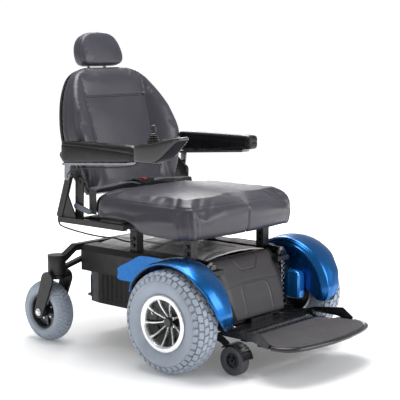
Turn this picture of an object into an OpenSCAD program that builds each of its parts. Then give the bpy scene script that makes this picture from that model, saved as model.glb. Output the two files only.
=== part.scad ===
// Power wheelchair: wide drive wheels in the middle, rear casters on a rocking beam,
// high-back captain's seat, flip-up armrests, stick controller and flip-up footplate.
// +Z is up, -Y is the front, -X is the sitter's right. Z = 0 is the floor.

/* [Drive wheels] */
// Radius of a drive tyre over its tread
tyre_r = 175; // [165:1:180]
// Width of a drive tyre
tyre_w = 116; // [100:1:118]
// Distance from the middle of the chair to the outer face of a drive tyre
tyre_face_x = 410; // [408:1:420]
// Place of the drive axle along the chair
axle_y = -155; // [-160:1:-150]
// Number of spokes in a drive rim
spoke_count = 9; // [5:1:11]

/* [Casters] */
// Radius of a caster tyre
caster_r = 112; // [100:1:112]
// Width of a caster tyre
caster_w = 76; // [60:1:76]
// Distance from the middle of the chair to a caster pivot
caster_x = 330; // [328:1:335]
// Place of the caster pivots along the chair
caster_y = 431; // [428:1:435]
// Trail of a caster, from its pivot to its axle
caster_trail = 47; // [30:1:48]

/* [Anti-tip wheels] */
// Radius of an anti-tip wheel
antitip_r = 50; // [45:1:50]
// Width of an anti-tip wheel
antitip_w = 38; // [30:1:38]
// Clearance from an anti-tip wheel to the floor
antitip_gap = 2; // [1:1:6]

/* [Seat] */
// Half the width of the seat cushion
cushion_hw = 303; // [295:1:303]
// Front edge of the seat cushion
cushion_front = -203; // [-210:1:-190]
// Back edge of the seat cushion
cushion_back = 333; // [325:1:334]
// Top of the seat cushion
cushion_top = 566; // [555:1:567]
// Lean of the backrest from upright, in degrees
back_lean = 17.5; // [16:0.5:18]

/* [Armrests] */
// Inner side of an armrest
arm_in = 282; // [282:1:286]
// Outer side of an armrest
arm_out = 342; // [336:1:346]

/* [Footplate] */
// Half the width of the footplate at its widest
plate_hw = 246; // [240:1:246]
// Front edge of the footplate
plate_front = -596; // [-600:1:-585]
// Top of the footplate, under its mat
plate_top = 124; // [120:1:124]

/* [Hidden] */
$fn = 64;

play = 0.05;      // radial running clearance of a pin in its bore
skin = 4;         // wall of a moulded cover
axle_z = tyre_r;
tyre_x = tyre_face_x - tyre_w / 2;
rim_seat_r = 92;  // where a drive tyre sits on its rim
shaft_r = 10;

// covers of the base
body_hw = 170;        // lower side walls
shoulder_x = 246;     // upper side walls
shoulder_z = 262;     // underside of the shoulders
shelf_z = 284;
body_low = 125;
tower_y = [-105, 150];
tower_x = 200;
tower_w = 34;
tower_foot_z = 300.5;
tower_top = 427;

// fender section, as [distance from the middle, radius from the axle]
fender_ring = [[380, 190], [380, 196], [350, 203], [305, 204], [266, 195], [256, 182],
    [256, 105], [252, 105], [252, 184], [264, 199.5], [304, 208.5], [352, 207.5],
    [384, 200], [384, 190]];
fender_rear_a = 113;
fender_sweep = 155;

// rear beam
beam_y = [398, 424];
hub_z = 320;
pivot_r = 12;

// caster forks
barrel_r = 33;
barrel_z = [255, 325];
stem_r = 10;
caster_axle_r = 5;
leg_in = 43;
leg_t = 8;

// anti-tip arms
pivot_y = -150;
pivot_z = 140;
antitip_x = 240;
antitip_y = -334;
antitip_z = antitip_r + antitip_gap;
arm_bore_r = 7;
spring_z = [152.5, 305];
spring_turns = 8;

// footplate
hinge_y = -330;
hinge_z = 133;
hinge_r = 4;
plate_t = 13;
mat_t = 2.5;

// seat
rail_z = 443;
pan_z = [468.5, 471.5];
cushion_low = 472;
fold_y = 352;
fold_z = 592;
fold_r = 7;
fold_x = 280;
lever_y = 362;
lever_z = 506;

// back, measured along and across its own slope from the foot of its front face
back_y = 341;
back_z = 552;
pad_t = 52;
shell_t = 31;
post_depth = 68;
post_x = 42;
post_r = 6;
headrest_depth = 10;

// armrests
arm_pivot_y = 385;
arm_pivot_z = 612;
arm_pin_r = 5;
pad_front = 23;
pad_back = 393;
pad_top = 743;

// controller, on the right armrest
stick_x = -312;
stick_y = -40;
stick_z = 752;
deck_tilt = -13;
deck_y = -115;
deck_z = 770;
button_r = 6;
dial_r = 10;
harness_d = 6;
lead_d = 5;

// ---------- helpers ----------
module both() {
    children();
    mirror([1, 0, 0]) children();
}
module on_side(s) {
    if (s > 0) children();
    else mirror([1, 0, 0]) children();
}
// a bar of radius r along X, from x0 to x1, at y, z
module bar_x(r, x0, x1, y, z) {
    translate([x0, y, z]) rotate([0, 90, 0]) cylinder(r = r, h = x1 - x0);
}
module bar_y(r, y0, y1, x, z) {
    translate([x, y1, z]) rotate([90, 0, 0]) cylinder(r = r, h = y1 - y0);
}
module block(lo, hi) {
    translate(lo) cube(hi - lo);
}
// a flat outline in Y and Z, thick along X
module slab_x(x0, x1) {
    translate([x0, 0, 0]) rotate([90, 0, 90]) linear_extrude(x1 - x0) children();
}
// a flat outline in X and Z, thick along Y
module slab_y(y0, y1) {
    translate([0, y1, 0]) rotate([90, 0, 0]) linear_extrude(y1 - y0) children();
}
// a ring about an X axis; the outline is [radius, distance along X]
module ring_x(x, y, z, from = 0, sweep = 360) {
    translate([x, y, z]) rotate([0, 90, 0]) rotate([0, 0, from])
        rotate_extrude(angle = sweep) children();
}
// two round ends and the straight sides between them, set in a little from the tangents
module link2d(p, rp, q, rq) {
    inset = 0.15;
    a = atan2(q[1] - p[1], q[0] - p[0]);
    t = acos((rp - rq) / norm(q - p));
    translate(p) circle(rp);
    translate(q) circle(rq);
    polygon([for (e = [[p, rp, t], [q, rq, t], [q, rq, -t], [p, rp, -t]])
        e[0] + (e[1] - inset) * [cos(a + e[2]), sin(a + e[2])]]);
}
function arc(c, r, a0, a1, n) =
    [for (i = [0:n]) c + r * [cos(a0 + (a1 - a0) * i / n), sin(a0 + (a1 - a0) * i / n)]];

// a tube of flat-sided section swept along points
function unit(v) = v / norm(v);
module tube(path, d, sides) {
    n = len(path);
    dir = [for (i = [0:n - 1]) unit(path[min(i + 1, n - 1)] - path[max(i - 1, 0)])];
    side = [for (v = dir) unit(cross(v, [0.31, 0.2, 0.93]))];
    rings = [for (i = [0:n - 1]) for (k = [0:sides - 1])
        path[i] + d / 2 * (cos(360 * k / sides) * side[i]
            + sin(360 * k / sides) * cross(dir[i], side[i]))];
    walls = [for (i = [0:n - 2]) for (k = [0:sides - 1])
        [i * sides + k, (i + 1) * sides + k,
            (i + 1) * sides + (k + 1) % sides, i * sides + (k + 1) % sides]];
    ends = [[for (k = [0:sides - 1]) k], [for (k = [sides - 1:-1:0]) (n - 1) * sides + k]];
    polyhedron(rings, concat(walls, ends));
}
// points of a smooth line through the given ones
function spline(p, steps) = [for (i = [0:len(p) - 2]) for (k = [0:steps - 1])
    let (a = p[max(i - 1, 0)], b = p[i], c = p[i + 1], d = p[min(i + 2, len(p) - 1)], t = k / steps)
    0.5 * (2 * b + (c - a) * t + (2 * a - 5 * b + 4 * c - d) * t * t
        + (3 * b - a - 3 * c + d) * t * t * t)];
function through(p, steps) = concat(spline(p, steps), [p[len(p) - 1]]);

// ---------- frame and drive ----------
module main_frame() {
    color("dimgray") {
        both() {
            block([125, -226, 124], [150, 380, 164]);
            for (y = tower_y) {
                block([150, y - 15, 140], [158, y + 15, 300]);
                block([150, y - 17, 280], [222, y + 17, 300]);
            }
            // motor bracket, level with the axle
            block([150, axle_y - 25, 140], [204, axle_y + 35, 172]);
            // front suspension bracket
            slab_x(150, 158) polygon([[-218, 134], [-175, 134], [-175, 326], [-180, 322],
                [-209, 270], [-218, 245]]);
            block([150, -215, 310], [215, -180, 326]);
            // lower seat of the spring
            block([150, -213, 144], [208, -182, 152]);
            // tie-down lug, flat behind the rear panel
            difference() {
                translate([0, 0, 140]) linear_extrude(6) link2d([133, 380], 15, [133, 451], 18);
                translate([133, 451, 130]) cylinder(r = 12, h = 26);
            }
        }
        block([-128, -240, 134], [128, -215, 160]);
        block([-125, 355, 134], [125, 380, 164]);
        // straps under the batteries and under the power module
        for (y = [30, 270]) block([-130, y, 124], [130, y + 25, 128]);
        for (y = [-180, -90]) block([-130, y, 154], [130, y + 15, 172]);
        block([-40, 365, 164], [40, 380, 345]);
        bar_y(pivot_r, 372, 428, 0, hub_z);
        bar_y(20, 428, 434, 0, hub_z);
        // shelf of the footplate carrier
        block([-60, -262, 134], [60, -238, 145.5]);
    }
}
module battery_tray() {
    color("black") difference() {
        block([-121, -10, 128], [121, 335, 190]);
        block([-119, -8, 131], [119, 333, 200]);
    }
}
module batteries() {
    color("darkslategray") for (y = [12, 165]) {
        block([-114.5, y, 131.5], [114.5, y + 138, 330]);
        for (x = [-85, 85]) translate([x, y + 69, 330]) cylinder(r = 8, h = 8);
    }
}
module power_module() {
    color("gray") {
        block([-80, -205, 172], [80, -45, 230]);
        for (i = [0:9]) block([-76 + i * 16, -203, 230], [-72 + i * 16, -47, 244]);
        for (x = [-50, 0, 50]) block([x - 12, -45, 190], [x + 12, -32, 212]);
    }
}
module gear_motors() {
    color("black") both() {
        difference() {
            union() {
                block([204, axle_y - 26, 158], [284, axle_y + 42, 222]);
                bar_x(34, 284, 290, axle_y, axle_z);
                bar_y(38, axle_y + 42, 62, 240, axle_z);
                bar_y(32, 62, 88, 240, axle_z);
            }
            bar_x(shaft_r + play, 230, 300, axle_y, axle_z);
        }
        bar_y(6, 88.2, 104, 240, axle_z);
    }
}
module freewheel_lever(s) {
    color("gold") on_side(s) difference() {
        slab_y(90, 97) polygon(concat(arc([240, axle_z], 12, 180, 360, 12),
            arc([240, axle_z + 62], 8, 0, 180, 8)));
        bar_y(6 + play, 80, 110, 240, axle_z);
    }
}

// ---------- drive wheels ----------
module drive_tyre(s) {
    hw = tyre_w / 2;
    color("lightsteelblue") on_side(s) ring_x(tyre_x, axle_y, axle_z) polygon(concat(
        [[rim_seat_r, -36], [99, -44]], arc([tyre_r - 42, -hw + 42], 42, -120, 0, 8),
        arc([tyre_r - 42, hw - 42], 42, 0, 120, 8), [[99, 44], [rim_seat_r, 36]]));
}
module drive_rim(s) {
    color("silver") on_side(s) {
        ring_x(tyre_x, axle_y, axle_z) polygon([[84, -40], [rim_seat_r - 0.3, -40],
            [rim_seat_r - 0.3, 36.4], [98, 44.6], [98, 48], [84, 50]]);
        difference() {
            union() {
                bar_x(34, tyre_x - 12, tyre_x + 6, axle_y, axle_z);
                for (i = [0:spoke_count - 1]) translate([tyre_x - 6, axle_y, axle_z])
                    rotate([i * 360 / spoke_count, 0, 0]) translate([0, -5, 30]) cube([10, 10, 56]);
                bar_x(86, tyre_x - 14, tyre_x - 10, axle_y, axle_z);
            }
            bar_x(shaft_r + play, tyre_x - 30, tyre_x + 30, axle_y, axle_z);
        }
    }
}
module drive_hub(s) {
    color("black") on_side(s) {
        bar_x(shaft_r, 232, tyre_x + 12, axle_y, axle_z);
        difference() {
            bar_x(27, tyre_x + 6.2, tyre_x + 26, axle_y, axle_z);
            bar_x(shaft_r + 0.2, tyre_x, tyre_x + 12.2, axle_y, axle_z);
        }
        bar_x(20, 292, tyre_x - 14.2, axle_y, axle_z);
    }
    color("silver") on_side(s) for (i = [0:4]) translate([tyre_x + 26.2, axle_y, axle_z])
        rotate([i * 72, 0, 0]) translate([0, 0, 17]) rotate([0, 90, 0]) cylinder(r = 4, h = 4, $fn = 6);
}

// ---------- rear beam and casters ----------
module rear_beam() {
    color("black") difference() {
        union() {
            bar_y(30, beam_y[0], beam_y[1], 0, hub_z);
            block([-250, beam_y[0], 334], [250, beam_y[1], 358]);
            both() {
                slab_y(beam_y[0], beam_y[1]) polygon([[240, 334], [240, 358], [262, 358],
                    [318, 325], [318, 298], [262, 334]]);
                slab_y(beam_y[0] + 2, beam_y[1] - 2) polygon([[205, 334], [205, 296], [318, 270],
                    [318, 284], [217, 308], [217, 334]]);
                translate([caster_x, caster_y, barrel_z[0]])
                    cylinder(r = barrel_r, h = barrel_z[1] - barrel_z[0]);
            }
        }
        bar_y(pivot_r + play, beam_y[0] - 5, beam_y[1] + 5, 0, hub_z);
        both() translate([caster_x, caster_y, barrel_z[0] - 1]) cylinder(r = stem_r + play, h = 66);
    }
}
module caster_fork(s) {
    ay = caster_y + caster_trail;
    color("black") on_side(s) {
        translate([caster_x, caster_y, 250]) cylinder(r = stem_r, h = 68);
        translate([caster_x, caster_y, 238]) cylinder(r = 30, h = 14);
        block([caster_x - leg_in - 1, caster_y - 22, 240], [caster_x + leg_in + 1, caster_y + 22, 250]);
        for (x = [caster_x - leg_in - leg_t, caster_x + leg_in]) difference() {
            slab_x(x, x + leg_t) link2d([caster_y, 238], 29, [ay, caster_r], 22);
            bar_x(caster_axle_r + play, x - 1, x + leg_t + 1, ay, caster_r);
        }
    }
    color("silver") on_side(s) {
        bar_x(caster_axle_r, caster_x - 52, caster_x + 52, ay, caster_r);
        for (x = [caster_x - 57.2, caster_x + 51.2])
            difference() {
                translate([x, ay, caster_r]) rotate([0, 90, 0]) cylinder(r = 10, h = 6, $fn = 6);
                bar_x(caster_axle_r, caster_x - 52, caster_x + 52, ay, caster_r);
            }
    }
}
module caster_tyre(s) {
    hw = caster_w / 2;
    color("lightsteelblue") on_side(s)
        ring_x(caster_x, caster_y + caster_trail, caster_r) polygon(concat([[62, -26]],
            arc([caster_r - 34, -hw + 34], 34, -105, 0, 7),
            arc([caster_r - 34, hw - 34], 34, 0, 105, 7), [[62, 26]]));
}
module caster_rim(s) {
    ay = caster_y + caster_trail;
    color("dimgray") on_side(s) difference() {
        union() {
            ring_x(caster_x, ay, caster_r) polygon([[55, -28], [61.8, -28], [61.8, 28], [55, 28]]);
            bar_x(56, caster_x - 4, caster_x + 4, ay, caster_r);
            bar_x(20, caster_x - 38, caster_x + 38, ay, caster_r);
        }
        bar_x(caster_axle_r + play, caster_x - 60, caster_x + 60, ay, caster_r);
    }
}

// ---------- anti-tip wheels and their springs ----------
module antitip_arm(s) {
    color("black") on_side(s) difference() {
        union() {
            // arm from the pivot, then down to the wheel on its inner side
            slab_x(212, 217) {
                link2d([pivot_y, pivot_z], 16, [-262, 102], 12);
                link2d([antitip_y, antitip_z], 14, [-262, 102], 12);
            }
            bar_x(16, 212, 258, pivot_y, pivot_z);
            // hood over the wheel
            ring_x(0, antitip_y, antitip_z, 135, 125) polygon([[54, 212], [57, 212], [57, 262],
                [54, 262]]);
            // plate from the arm to the hood
            slab_x(212, 217) intersection() {
                translate([antitip_y, antitip_z]) circle(56);
                polygon([[-334, 52], [-277, 60], [-285, 120], [-392, 110], [-392, 60]]);
            }
        }
        bar_x(arm_bore_r + play, 200, 270, pivot_y, pivot_z);
    }
    color("silver") on_side(s) difference() {
        bar_x(6, 217.3, antitip_x + 24, antitip_y, antitip_z);
        bar_x(2, antitip_x + 20, antitip_x + 30, antitip_y, antitip_z);
    }
}
module antitip_wheel(s) {
    hw = antitip_w / 2;
    color("slategray") on_side(s) ring_x(antitip_x, antitip_y, antitip_z) polygon([
        [6 + play, -hw], [22, -hw], [24, -hw + 3], [38, -hw + 3], [46, -hw], [antitip_r, -hw + 4],
        [antitip_r, hw - 4], [46, hw], [38, hw - 3], [24, hw - 3], [22, hw], [6 + play, hw]]);
}
module spring_housings() {
    color("black") both() difference() {
        translate([197, -132, 344]) rotate([97, 0, 0]) union() {
            cylinder(r = 17, h = 60);
            translate([0, 0, 60]) cylinder(r = 20, h = 9);
            translate([0, 0, 69]) cylinder(r = 15, h = 5);
        }
        block([150, -300, 290], [215, -100, 326.5]);
    }
    color("black") both() {
        bar_x(arm_bore_r, 204, 262, pivot_y, pivot_z);
    }
}
module suspension_springs() {
    // a rod in a sleeve with one ridge for each turn of the coil
    pitch = (spring_z[1] - spring_z[0]) / spring_turns;
    color("silver") both() translate([195, -197, 0]) {
        translate([0, 0, 152.2]) cylinder(r = 7, h = spring_z[1] - 149);
        translate([0, 0, spring_z[0]]) rotate_extrude() polygon(concat([[9.5, 0]],
            [for (i = [0:spring_turns - 1]) for (k = [0:3])
                [12 + 2.5 * [0, 1, 1, 0][k], (i + [0.05, 0.35, 0.65, 0.95][k]) * pitch]],
            [[9.5, spring_turns * pitch]]));
    }
}

// ---------- covers ----------
shroud_side = [[-142, 350], [-160, 352], [-186, 330], [-217, 274], [-243, 210], [-258, 153],
    [-250, 146], [-142, 146]];
shroud_hollow = [[-141, 346], [-159, 347], [-182, 328], [-213, 273], [-239, 209], [-252, 156],
    [-252, 140], [-141, 140]];
// plan with its front corners cut back
function shroud_plan(g) = [[163 - g, -120], [163 - g, -224 + g / 2],
    [125 - g / 2, -264 + g], [-125 + g / 2, -264 + g], [-163 + g, -224 + g / 2],
    [-163 + g, -120]];
module front_shroud() {
    color("dimgray") difference() {
        intersection() {
            slab_x(-163, 163) polygon(shroud_side);
            linear_extrude(400) polygon(shroud_plan(0));
        }
        intersection() {
            slab_x(-159, 159) polygon(shroud_hollow);
            linear_extrude(400) polygon(shroud_plan(4));
        }
        // notches for the motor bracket, the spring seat and the suspension bracket
        both() {
            block([155, -183, 138], [168, -110, 175]);
            block([155, -216, 138], [168, -170, 155]);
            block([146, -221, 305], [168, -177, 331]);
        }
    }
}
module top_cover() {
    color("lightgray") difference() {
        slab_y(-138, 384) polygon([[-165, 346], [-165, 350], [-120, 360], [0, 364], [120, 360],
            [165, 350], [165, 346], [120, 356], [0, 360], [-120, 356]]);
        block([-30, 360, 330], [30, 400, 346]);
    }
}
module body_panels() {
    color("black") {
        both() {
            // upper panel, a shoulder over the wheels' gear
            difference() {
                slab_y(-138, 390) polygon([[166, 355], [232, 355], [shoulder_x, 335],
                    [shoulder_x, shoulder_z], [172, shoulder_z], [172, shoulder_z + skin],
                    [shoulder_x - skin, shoulder_z + skin], [shoulder_x - skin, 334],
                    [230, 351], [166, 351]]);
                for (y = tower_y) block([tower_x - 19, y - 19, 340], [tower_x + 19, y + 19, 370]);
                block([150, -215, 255], [220, -100, 366]);
            }
            // lower panel with its upright flutes
            difference() {
                translate([0, 0, body_low]) linear_extrude(133) polygon([[body_hw - skin, 60],
                    [body_hw, 60], [body_hw, 380], [160, 424], [156, 424], [body_hw - skin, 380]]);
                for (i = [0:5]) block([body_hw - 1.5, 225 + i * 24, 145],
                    [body_hw + 1, 238 + i * 24, 245]);
            }
        }
        // rear panel, which steps back below the rocking beam
        difference() {
            union() {
                slab_y(385, 389) polygon([[-162, shelf_z - skin], [162, shelf_z - skin],
                    [162, 350], [-162, 350]]);
                block([-160, 385, shelf_z - skin], [160, 429, shelf_z]);
                block([-160, 425, body_low], [160, 429, shelf_z]);
            }
            bar_y(pivot_r + 3, 370, 400, 0, hub_z);
            both() block([113, 420, 137], [153, 435, 149]);
        }
    }
}
module blue_trims() {
    color("royalblue") both() {
        // corner box beside the shroud, open behind and below
        difference() {
            block([212, -262, 168], [250, -196, 272]);
            block([215, -259, 160], [247, -190, 269]);
        }
        // rear corner strip
        block([172, 390.3, 270], [176, 395, 345]);
        block([176, 390.3, 340], [242, 395, 349]);
        block([152, 429.3, 140], [161, 432.3, 225]);
        // panel behind the fender
        slab_x(248, 251.5) polygon([[-62, 356], [90, 352], [196, 296], [196, 252], [66, 252],
            [40, 300], [-10, 340]]);
    }
}
module fenders() {
    color("royalblue") both() ring_x(0, axle_y, axle_z, fender_rear_a, fender_sweep)
        polygon([for (p = fender_ring) [p[1], p[0]]]);
}

// ---------- seat ----------
module seat_towers() {
    color("black") both() for (y = tower_y) {
        difference() {
            block([tower_x - tower_w / 2, y - tower_w / 2, tower_foot_z],
                [tower_x + tower_w / 2, y + tower_w / 2, tower_top]);
            block([tower_x - 13, y - 13, tower_foot_z - 1], [tower_x + 13, y + 13, tower_top + 1]);
            for (z = [375, 400]) bar_x(5, tower_x - 30, tower_x + 30, y, z);
        }
        for (z = [375, 400]) translate([tower_x + 17.2, y, z]) rotate([0, 90, 0])
            cylinder(r = 8, h = 5.8, $fn = 6);
    }
}
module seat_frame() {
    color("black") {
        difference() {
            union() {
                both() {
                    for (y = tower_y) block([tower_x - 18, y - 18, tower_top + 0.5],
                        [tower_x + 18, y + 18, rail_z]);
                    block([188, -135, rail_z - 3], [212, 345, pan_z[0] - 1]);
                    block([293, 105, rail_z], [313, 440, rail_z + 20]);
                    // recline plates
                    slab_x(fold_x, fold_x + 6)
                        link2d([fold_y + 4, rail_z + 22], 20, [fold_y, fold_z], 20);
                }
                for (b = [[-140, 275], [110, 300], [326, 300]])
                    block([-b[1], b[0], rail_z + 3], [b[1], b[0] + 22, pan_z[0] - 2]);
                block([-270, -165, pan_z[0] - 3], [270, 318, pan_z[1]]);
            }
            both() bar_x(fold_r + play, fold_x - 5, fold_x + 12, fold_y, fold_z);
            // bore of the recline lever's pin, right side
            bar_x(5 + play, -fold_x - 12, -fold_x + 5, lever_y, lever_z);
        }
    }
}
// plan of the seat cushion
cushion_plan = concat(
    arc([cushion_hw - 75, cushion_front + 92], 75, 0, -62, 6), [[120, cushion_front + 4]],
    [[-120, cushion_front + 4]], arc([-cushion_hw + 75, cushion_front + 92], 75, 242, 180, 6),
    [[-cushion_hw, 262], [-256, 284], [-256, cushion_back], [256, cushion_back], [256, 284],
        [cushion_hw, 262]]);
module seat_cushion() {
    color("black") difference() {
        union() {
            translate([0, 0, cushion_low]) linear_extrude(cushion_top - cushion_low)
                polygon(cushion_plan);
            // front and side valance
            translate([0, 0, 432]) linear_extrude(41) intersection() {
                polygon(cushion_plan);
                translate([-400, -400]) square([800, 502]);
            }
        }
        block([-278, -170, 420], [278, 200, cushion_low]);
    }
}
module arm_posts() {
    color("black") both() difference() {
        union() {
            slab_x(297, 309) link2d([arm_pivot_y, arm_pivot_z], 14, [436, 466], 14);
            slab_x(300, 306) polygon([[350, 463.3], [443, 463.3], [443, 470], [400, 560]]);
        }
        block([290, 300, 440], [316, 450, 463.2]);
        bar_x(arm_pin_r + play, 280, 320, arm_pivot_y, arm_pivot_z);
    }
}
module belt_webbing() {
    color("black") both() {
        block([22, 290, cushion_top + 0.6], [262, 328, cushion_top + 3]);
        block([259, 290, 474], [262, 328, cushion_top + 3]);
    }
}
module belt_buckle() {
    color("black") difference() {
        block([-38, 286, cushion_top + 3.2], [38, 332, cushion_top + 19]);
        block([-6.5, 299, cushion_top + 6], [14.3, 319, cushion_top + 25]);
    }
}
module buckle_button() {
    color("red") block([-3.6, 299.4, cushion_top + 10], [13.9, 318.6, cushion_top + 21]);
}

// ---------- backrest ----------
// children are drawn with X across, Y along the slope and Z into the back
module on_back(depth) {
    translate([0, back_y, back_z]) rotate([-back_lean, 0, 0])
        translate([0, depth, 0]) rotate([90, 0, 0]) mirror([0, 0, 1]) children();
}
function back_half(g) = [[232 - g, 6 + g], [244 - g, 60], [254 - g, 120], [268 - g, 180],
    [270 - g, 215], [262 - g, 270], [243 - g, 335], [220 - g, 385], [190 - g, 430],
    [150 - g, 462], [100, 475 - g], [0, 478 - g]];
function back_outline(g) = concat(back_half(g), [for (i = [len(back_half(g)) - 2:-1:0])
    [-back_half(g)[i][0], back_half(g)[i][1]]]);
module back_cushion() {
    color("black") on_back(0) {
        linear_extrude(pad_t) polygon(back_outline(0));
        // side bolsters, which stand forward of the middle
        both() intersection() {
            translate([0, 0, -50]) linear_extrude(60) polygon(back_outline(0));
            slab_x(140, 280) polygon([[30, 5], [30, -2], [60, -20], [110, -38], [200, -45],
                [300, -38], [400, -16], [455, -2], [455, 5]]);
            slab_y(0, 480) polygon([[150, 5], [150, -1], [172, -16], [205, -40], [225, -46],
                [262, -40], [275, -20], [275, 5]]);
        }
    }
}
module back_shell() {
    color("dimgray") difference() {
        on_back(pad_t + 0.5) difference() {
            linear_extrude(shell_t) polygon(back_outline(6));
            translate([0, 0, -1]) linear_extrude(shell_t - 3) polygon(back_outline(10));
        }
        headrest_rods(post_r + play);
    }
}
module headrest_rods(r) {
    both() on_back(post_depth) translate([post_x, 350, 0]) rotate([-90, 0, 0]) cylinder(r = r, h = 190);
}
module back_frame() {
    color("silver") both() {
        slab_x(fold_x - 7, fold_x - 1.5) difference() {
            link2d([fold_y, fold_z], 20, [448, 684], 13);
            translate([fold_y, fold_z]) circle(fold_r);
        }
        bar_x(fold_r, fold_x - 7, fold_x + 9, fold_y, fold_z);
        // boss on the side of the shell
        difference() {
            bar_x(8, 240, fold_x - 7, 448, 684);
            on_back(pad_t - 10) linear_extrude(60) polygon(back_outline(5.8));
        }
    }
}
module headrest_posts() {
    color("silver") headrest_rods(post_r);
}
module headrest_pad() {
    color("black") on_back(headrest_depth) difference() {
        translate([0, 484, 0]) linear_extrude(66) polygon(concat(
            arc([70, 30], 30, -90, 0, 6), arc([54, 73], 60, 20, 90, 8),
            arc([-54, 73], 60, 90, 160, 8), arc([-70, 30], 30, 180, 270, 6)));
        both() translate([post_x, 300, post_depth - headrest_depth]) rotate([-90, 0, 0])
            cylinder(r = post_r, h = 240);
    }
}
module recline_lever() {
    color("slategray") {
        slab_x(-fold_x - 14, -fold_x - 7) link2d([lever_y, lever_z], 11, [296, 490], 9);
        bar_x(5, -fold_x - 8, -fold_x + 2, lever_y, lever_z);
    }
}

// ---------- armrests ----------
module armrest_pad(s) {
    color("black") on_side(s) slab_x(arm_in, arm_out) polygon(concat([[pad_front, 688]],
        arc([pad_front + 12, pad_top - 12], 12, 180, 90, 4),
        arc([pad_back - 14, pad_top - 14], 14, 90, 0, 4), [[pad_back, 664]]));
}
module armrest_rail(s) {
    color("silver") on_side(s) {
        slab_x(arm_in + 8, arm_out - 8) polygon([[pad_front + 42, 684.6], [pad_back - 6, 663.7],
            [pad_back - 6, 655], [pad_front + 42, 677]]);
        slab_x(310, 315) difference() {
            link2d([arm_pivot_y - 3, 650], 14, [arm_pivot_y, arm_pivot_z], 13);
            translate([arm_pivot_y, arm_pivot_z]) circle(arm_pin_r);
        }
        bar_x(arm_pin_r, 293, 318, arm_pivot_y, arm_pivot_z);
    }
}

// ---------- controller ----------
module on_deck(y) {
    translate([stick_x, deck_y, deck_z]) rotate([deck_tilt, 0, 0]) translate([0, y, 0]) children();
}
case_side = [[20, 690], [20, 748], [-22, 758], [-58, 758], [-172, 784], [-178, 778],
    [-170, 768], [-100, 706], [-70, 690]];
module controller_case() {
    color("black") difference() {
        slab_x(stick_x - 38, stick_x + 38) polygon(case_side);
        translate([stick_x, stick_y, stick_z - 12]) cylinder(r = 18, h = 60);
        bar_x(1.5 + play, stick_x - 24, stick_x + 24, stick_y, stick_z - 2);
        bar_x(8, stick_x + 26, stick_x + 40, -70, 725);
        on_deck(0) for (x = [-20, 20]) translate([x, 0, -12]) cylinder(r = button_r + play, h = 30);
        on_deck(-32) translate([0, 0, -8]) cylinder(r = 4 + play, h = 30);
    }
}
module joystick_gimbal() {
    color("silver") difference() {
        union() {
            translate([stick_x, stick_y, stick_z - 5]) cylinder(r = 17, h = 6);
            bar_x(1.5, stick_x - 22, stick_x + 22, stick_y, stick_z - 2);
        }
        translate([stick_x, stick_y, stick_z - 20]) cylinder(r = 12, h = 40);
        bar_y(1.5 + play, stick_y - 30, stick_y + 30, stick_x, stick_z - 2);
    }
}
module joystick() {
    color("black") {
        bar_y(1.5, stick_y - 16, stick_y + 16, stick_x, stick_z - 2);
        translate([stick_x, stick_y, stick_z - 8]) cylinder(r = 6, h = 12);
        translate([stick_x, stick_y, stick_z]) cylinder(r = 3.5, h = 40);
        translate([stick_x, stick_y, stick_z + 38]) rotate_extrude() polygon([[0, 0], [7, 0],
            [10.5, 4], [11, 14], [10, 22], [7, 26], [0, 27.5]]);
    }
}
module joystick_gaiter() {
    color("black") translate([stick_x, stick_y, 759]) rotate_extrude() polygon([[20, 0],
        [22, 0], [22, 3], [17, 6], [20, 10], [14, 13], [17, 17], [11, 20], [14, 24], [8, 28],
        [8, 30], [5, 30], [5, 27], [8, 23], [8, 20], [11, 16], [11, 13], [14, 9], [14, 6], [20, 2]]);
}
module deck_button(x) {
    on_deck(0) translate([x, 0, -5]) cylinder(r = button_r, h = 8);
}
module power_button() {
    color("limegreen") deck_button(-20);
}
module horn_button() {
    color("gold") deck_button(20);
}
module speed_dial() {
    color("gray") on_deck(-32) union() {
        translate([0, 0, -6]) cylinder(r = 4, h = 8);
        translate([0, 0, 1.6]) cylinder(r = dial_r, h = 5.4);
        translate([-1, 0, 6]) cube([2, dial_r - 1, 2]);
    }
}
lead_route = [[-330, 16, 687], [-330, 40, 677], [-328, 70, 670], [-326, 130, 664],
    [-325, 200, 658], [-325, 270, 652], [-325, 330, 646], [-324, 356, 636], [-323, 372, 622]];
module controller_cable() {
    color("black") tube(through(lead_route, 4), lead_d, 8);
}
harness_route = [[-300, 446, 452], [-300, 447, 440], [-300, 440, 430], [-299, 420, 424],
    [-297, 380, 418], [-293, 330, 412], [-286, 280, 407], [-274, 235, 404], [-258, 200, 402],
    [-240, 174, 393], [-221, 160, 388]];
module harness_cable() {
    color("black") tube(through(harness_route, 3), harness_d, 8);
}

// ---------- footplate ----------
module footplate_carrier() {
    color("black") {
        // pan from the frame shelf to the hinge, with its cheeks
        block([-60, -262, 128.5], [60, -238, 133.7]);
        block([-244, -318, 127], [244, -256, 131]);
        block([-122, -262, 127], [122, -170, 131]);
        both() block([153, -262, 127], [205, -170, 131]);
        block([-190, -322, 104], [190, -318, 131]);
        block([-190, -345, 104], [190, -318, 108]);
        both() {
            slab_x(240, 244) polygon([[-262, 127], [-318, 145], [-435, 160], [-478, 131],
                [-472, 113], [-410, 127]]);
            slab_x(206, 210) link2d([-312, 131], 8, [hinge_y, hinge_z], 9);
            bar_x(hinge_r, 194, 206.5, hinge_y, hinge_z);
        }
    }
}
function plate_curve(g) = [[plate_hw - g, -486], [plate_hw - 4 - g, -508 + 0.2 * g],
    [plate_hw - 15 - 0.9 * g, -530 + 0.4 * g], [plate_hw - 37 - 0.7 * g, -551 + 0.6 * g],
    [plate_hw - 70 - 0.5 * g, -568 + 0.8 * g], [130, -582 + g], [80, plate_front + 6 + g],
    [36, plate_front + g]];
plate_half = concat([[196, -347], [204, -352], [204, -408], [214, -416], [228, -418], [236, -424],
    [236, -478]], plate_curve(0));
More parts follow.
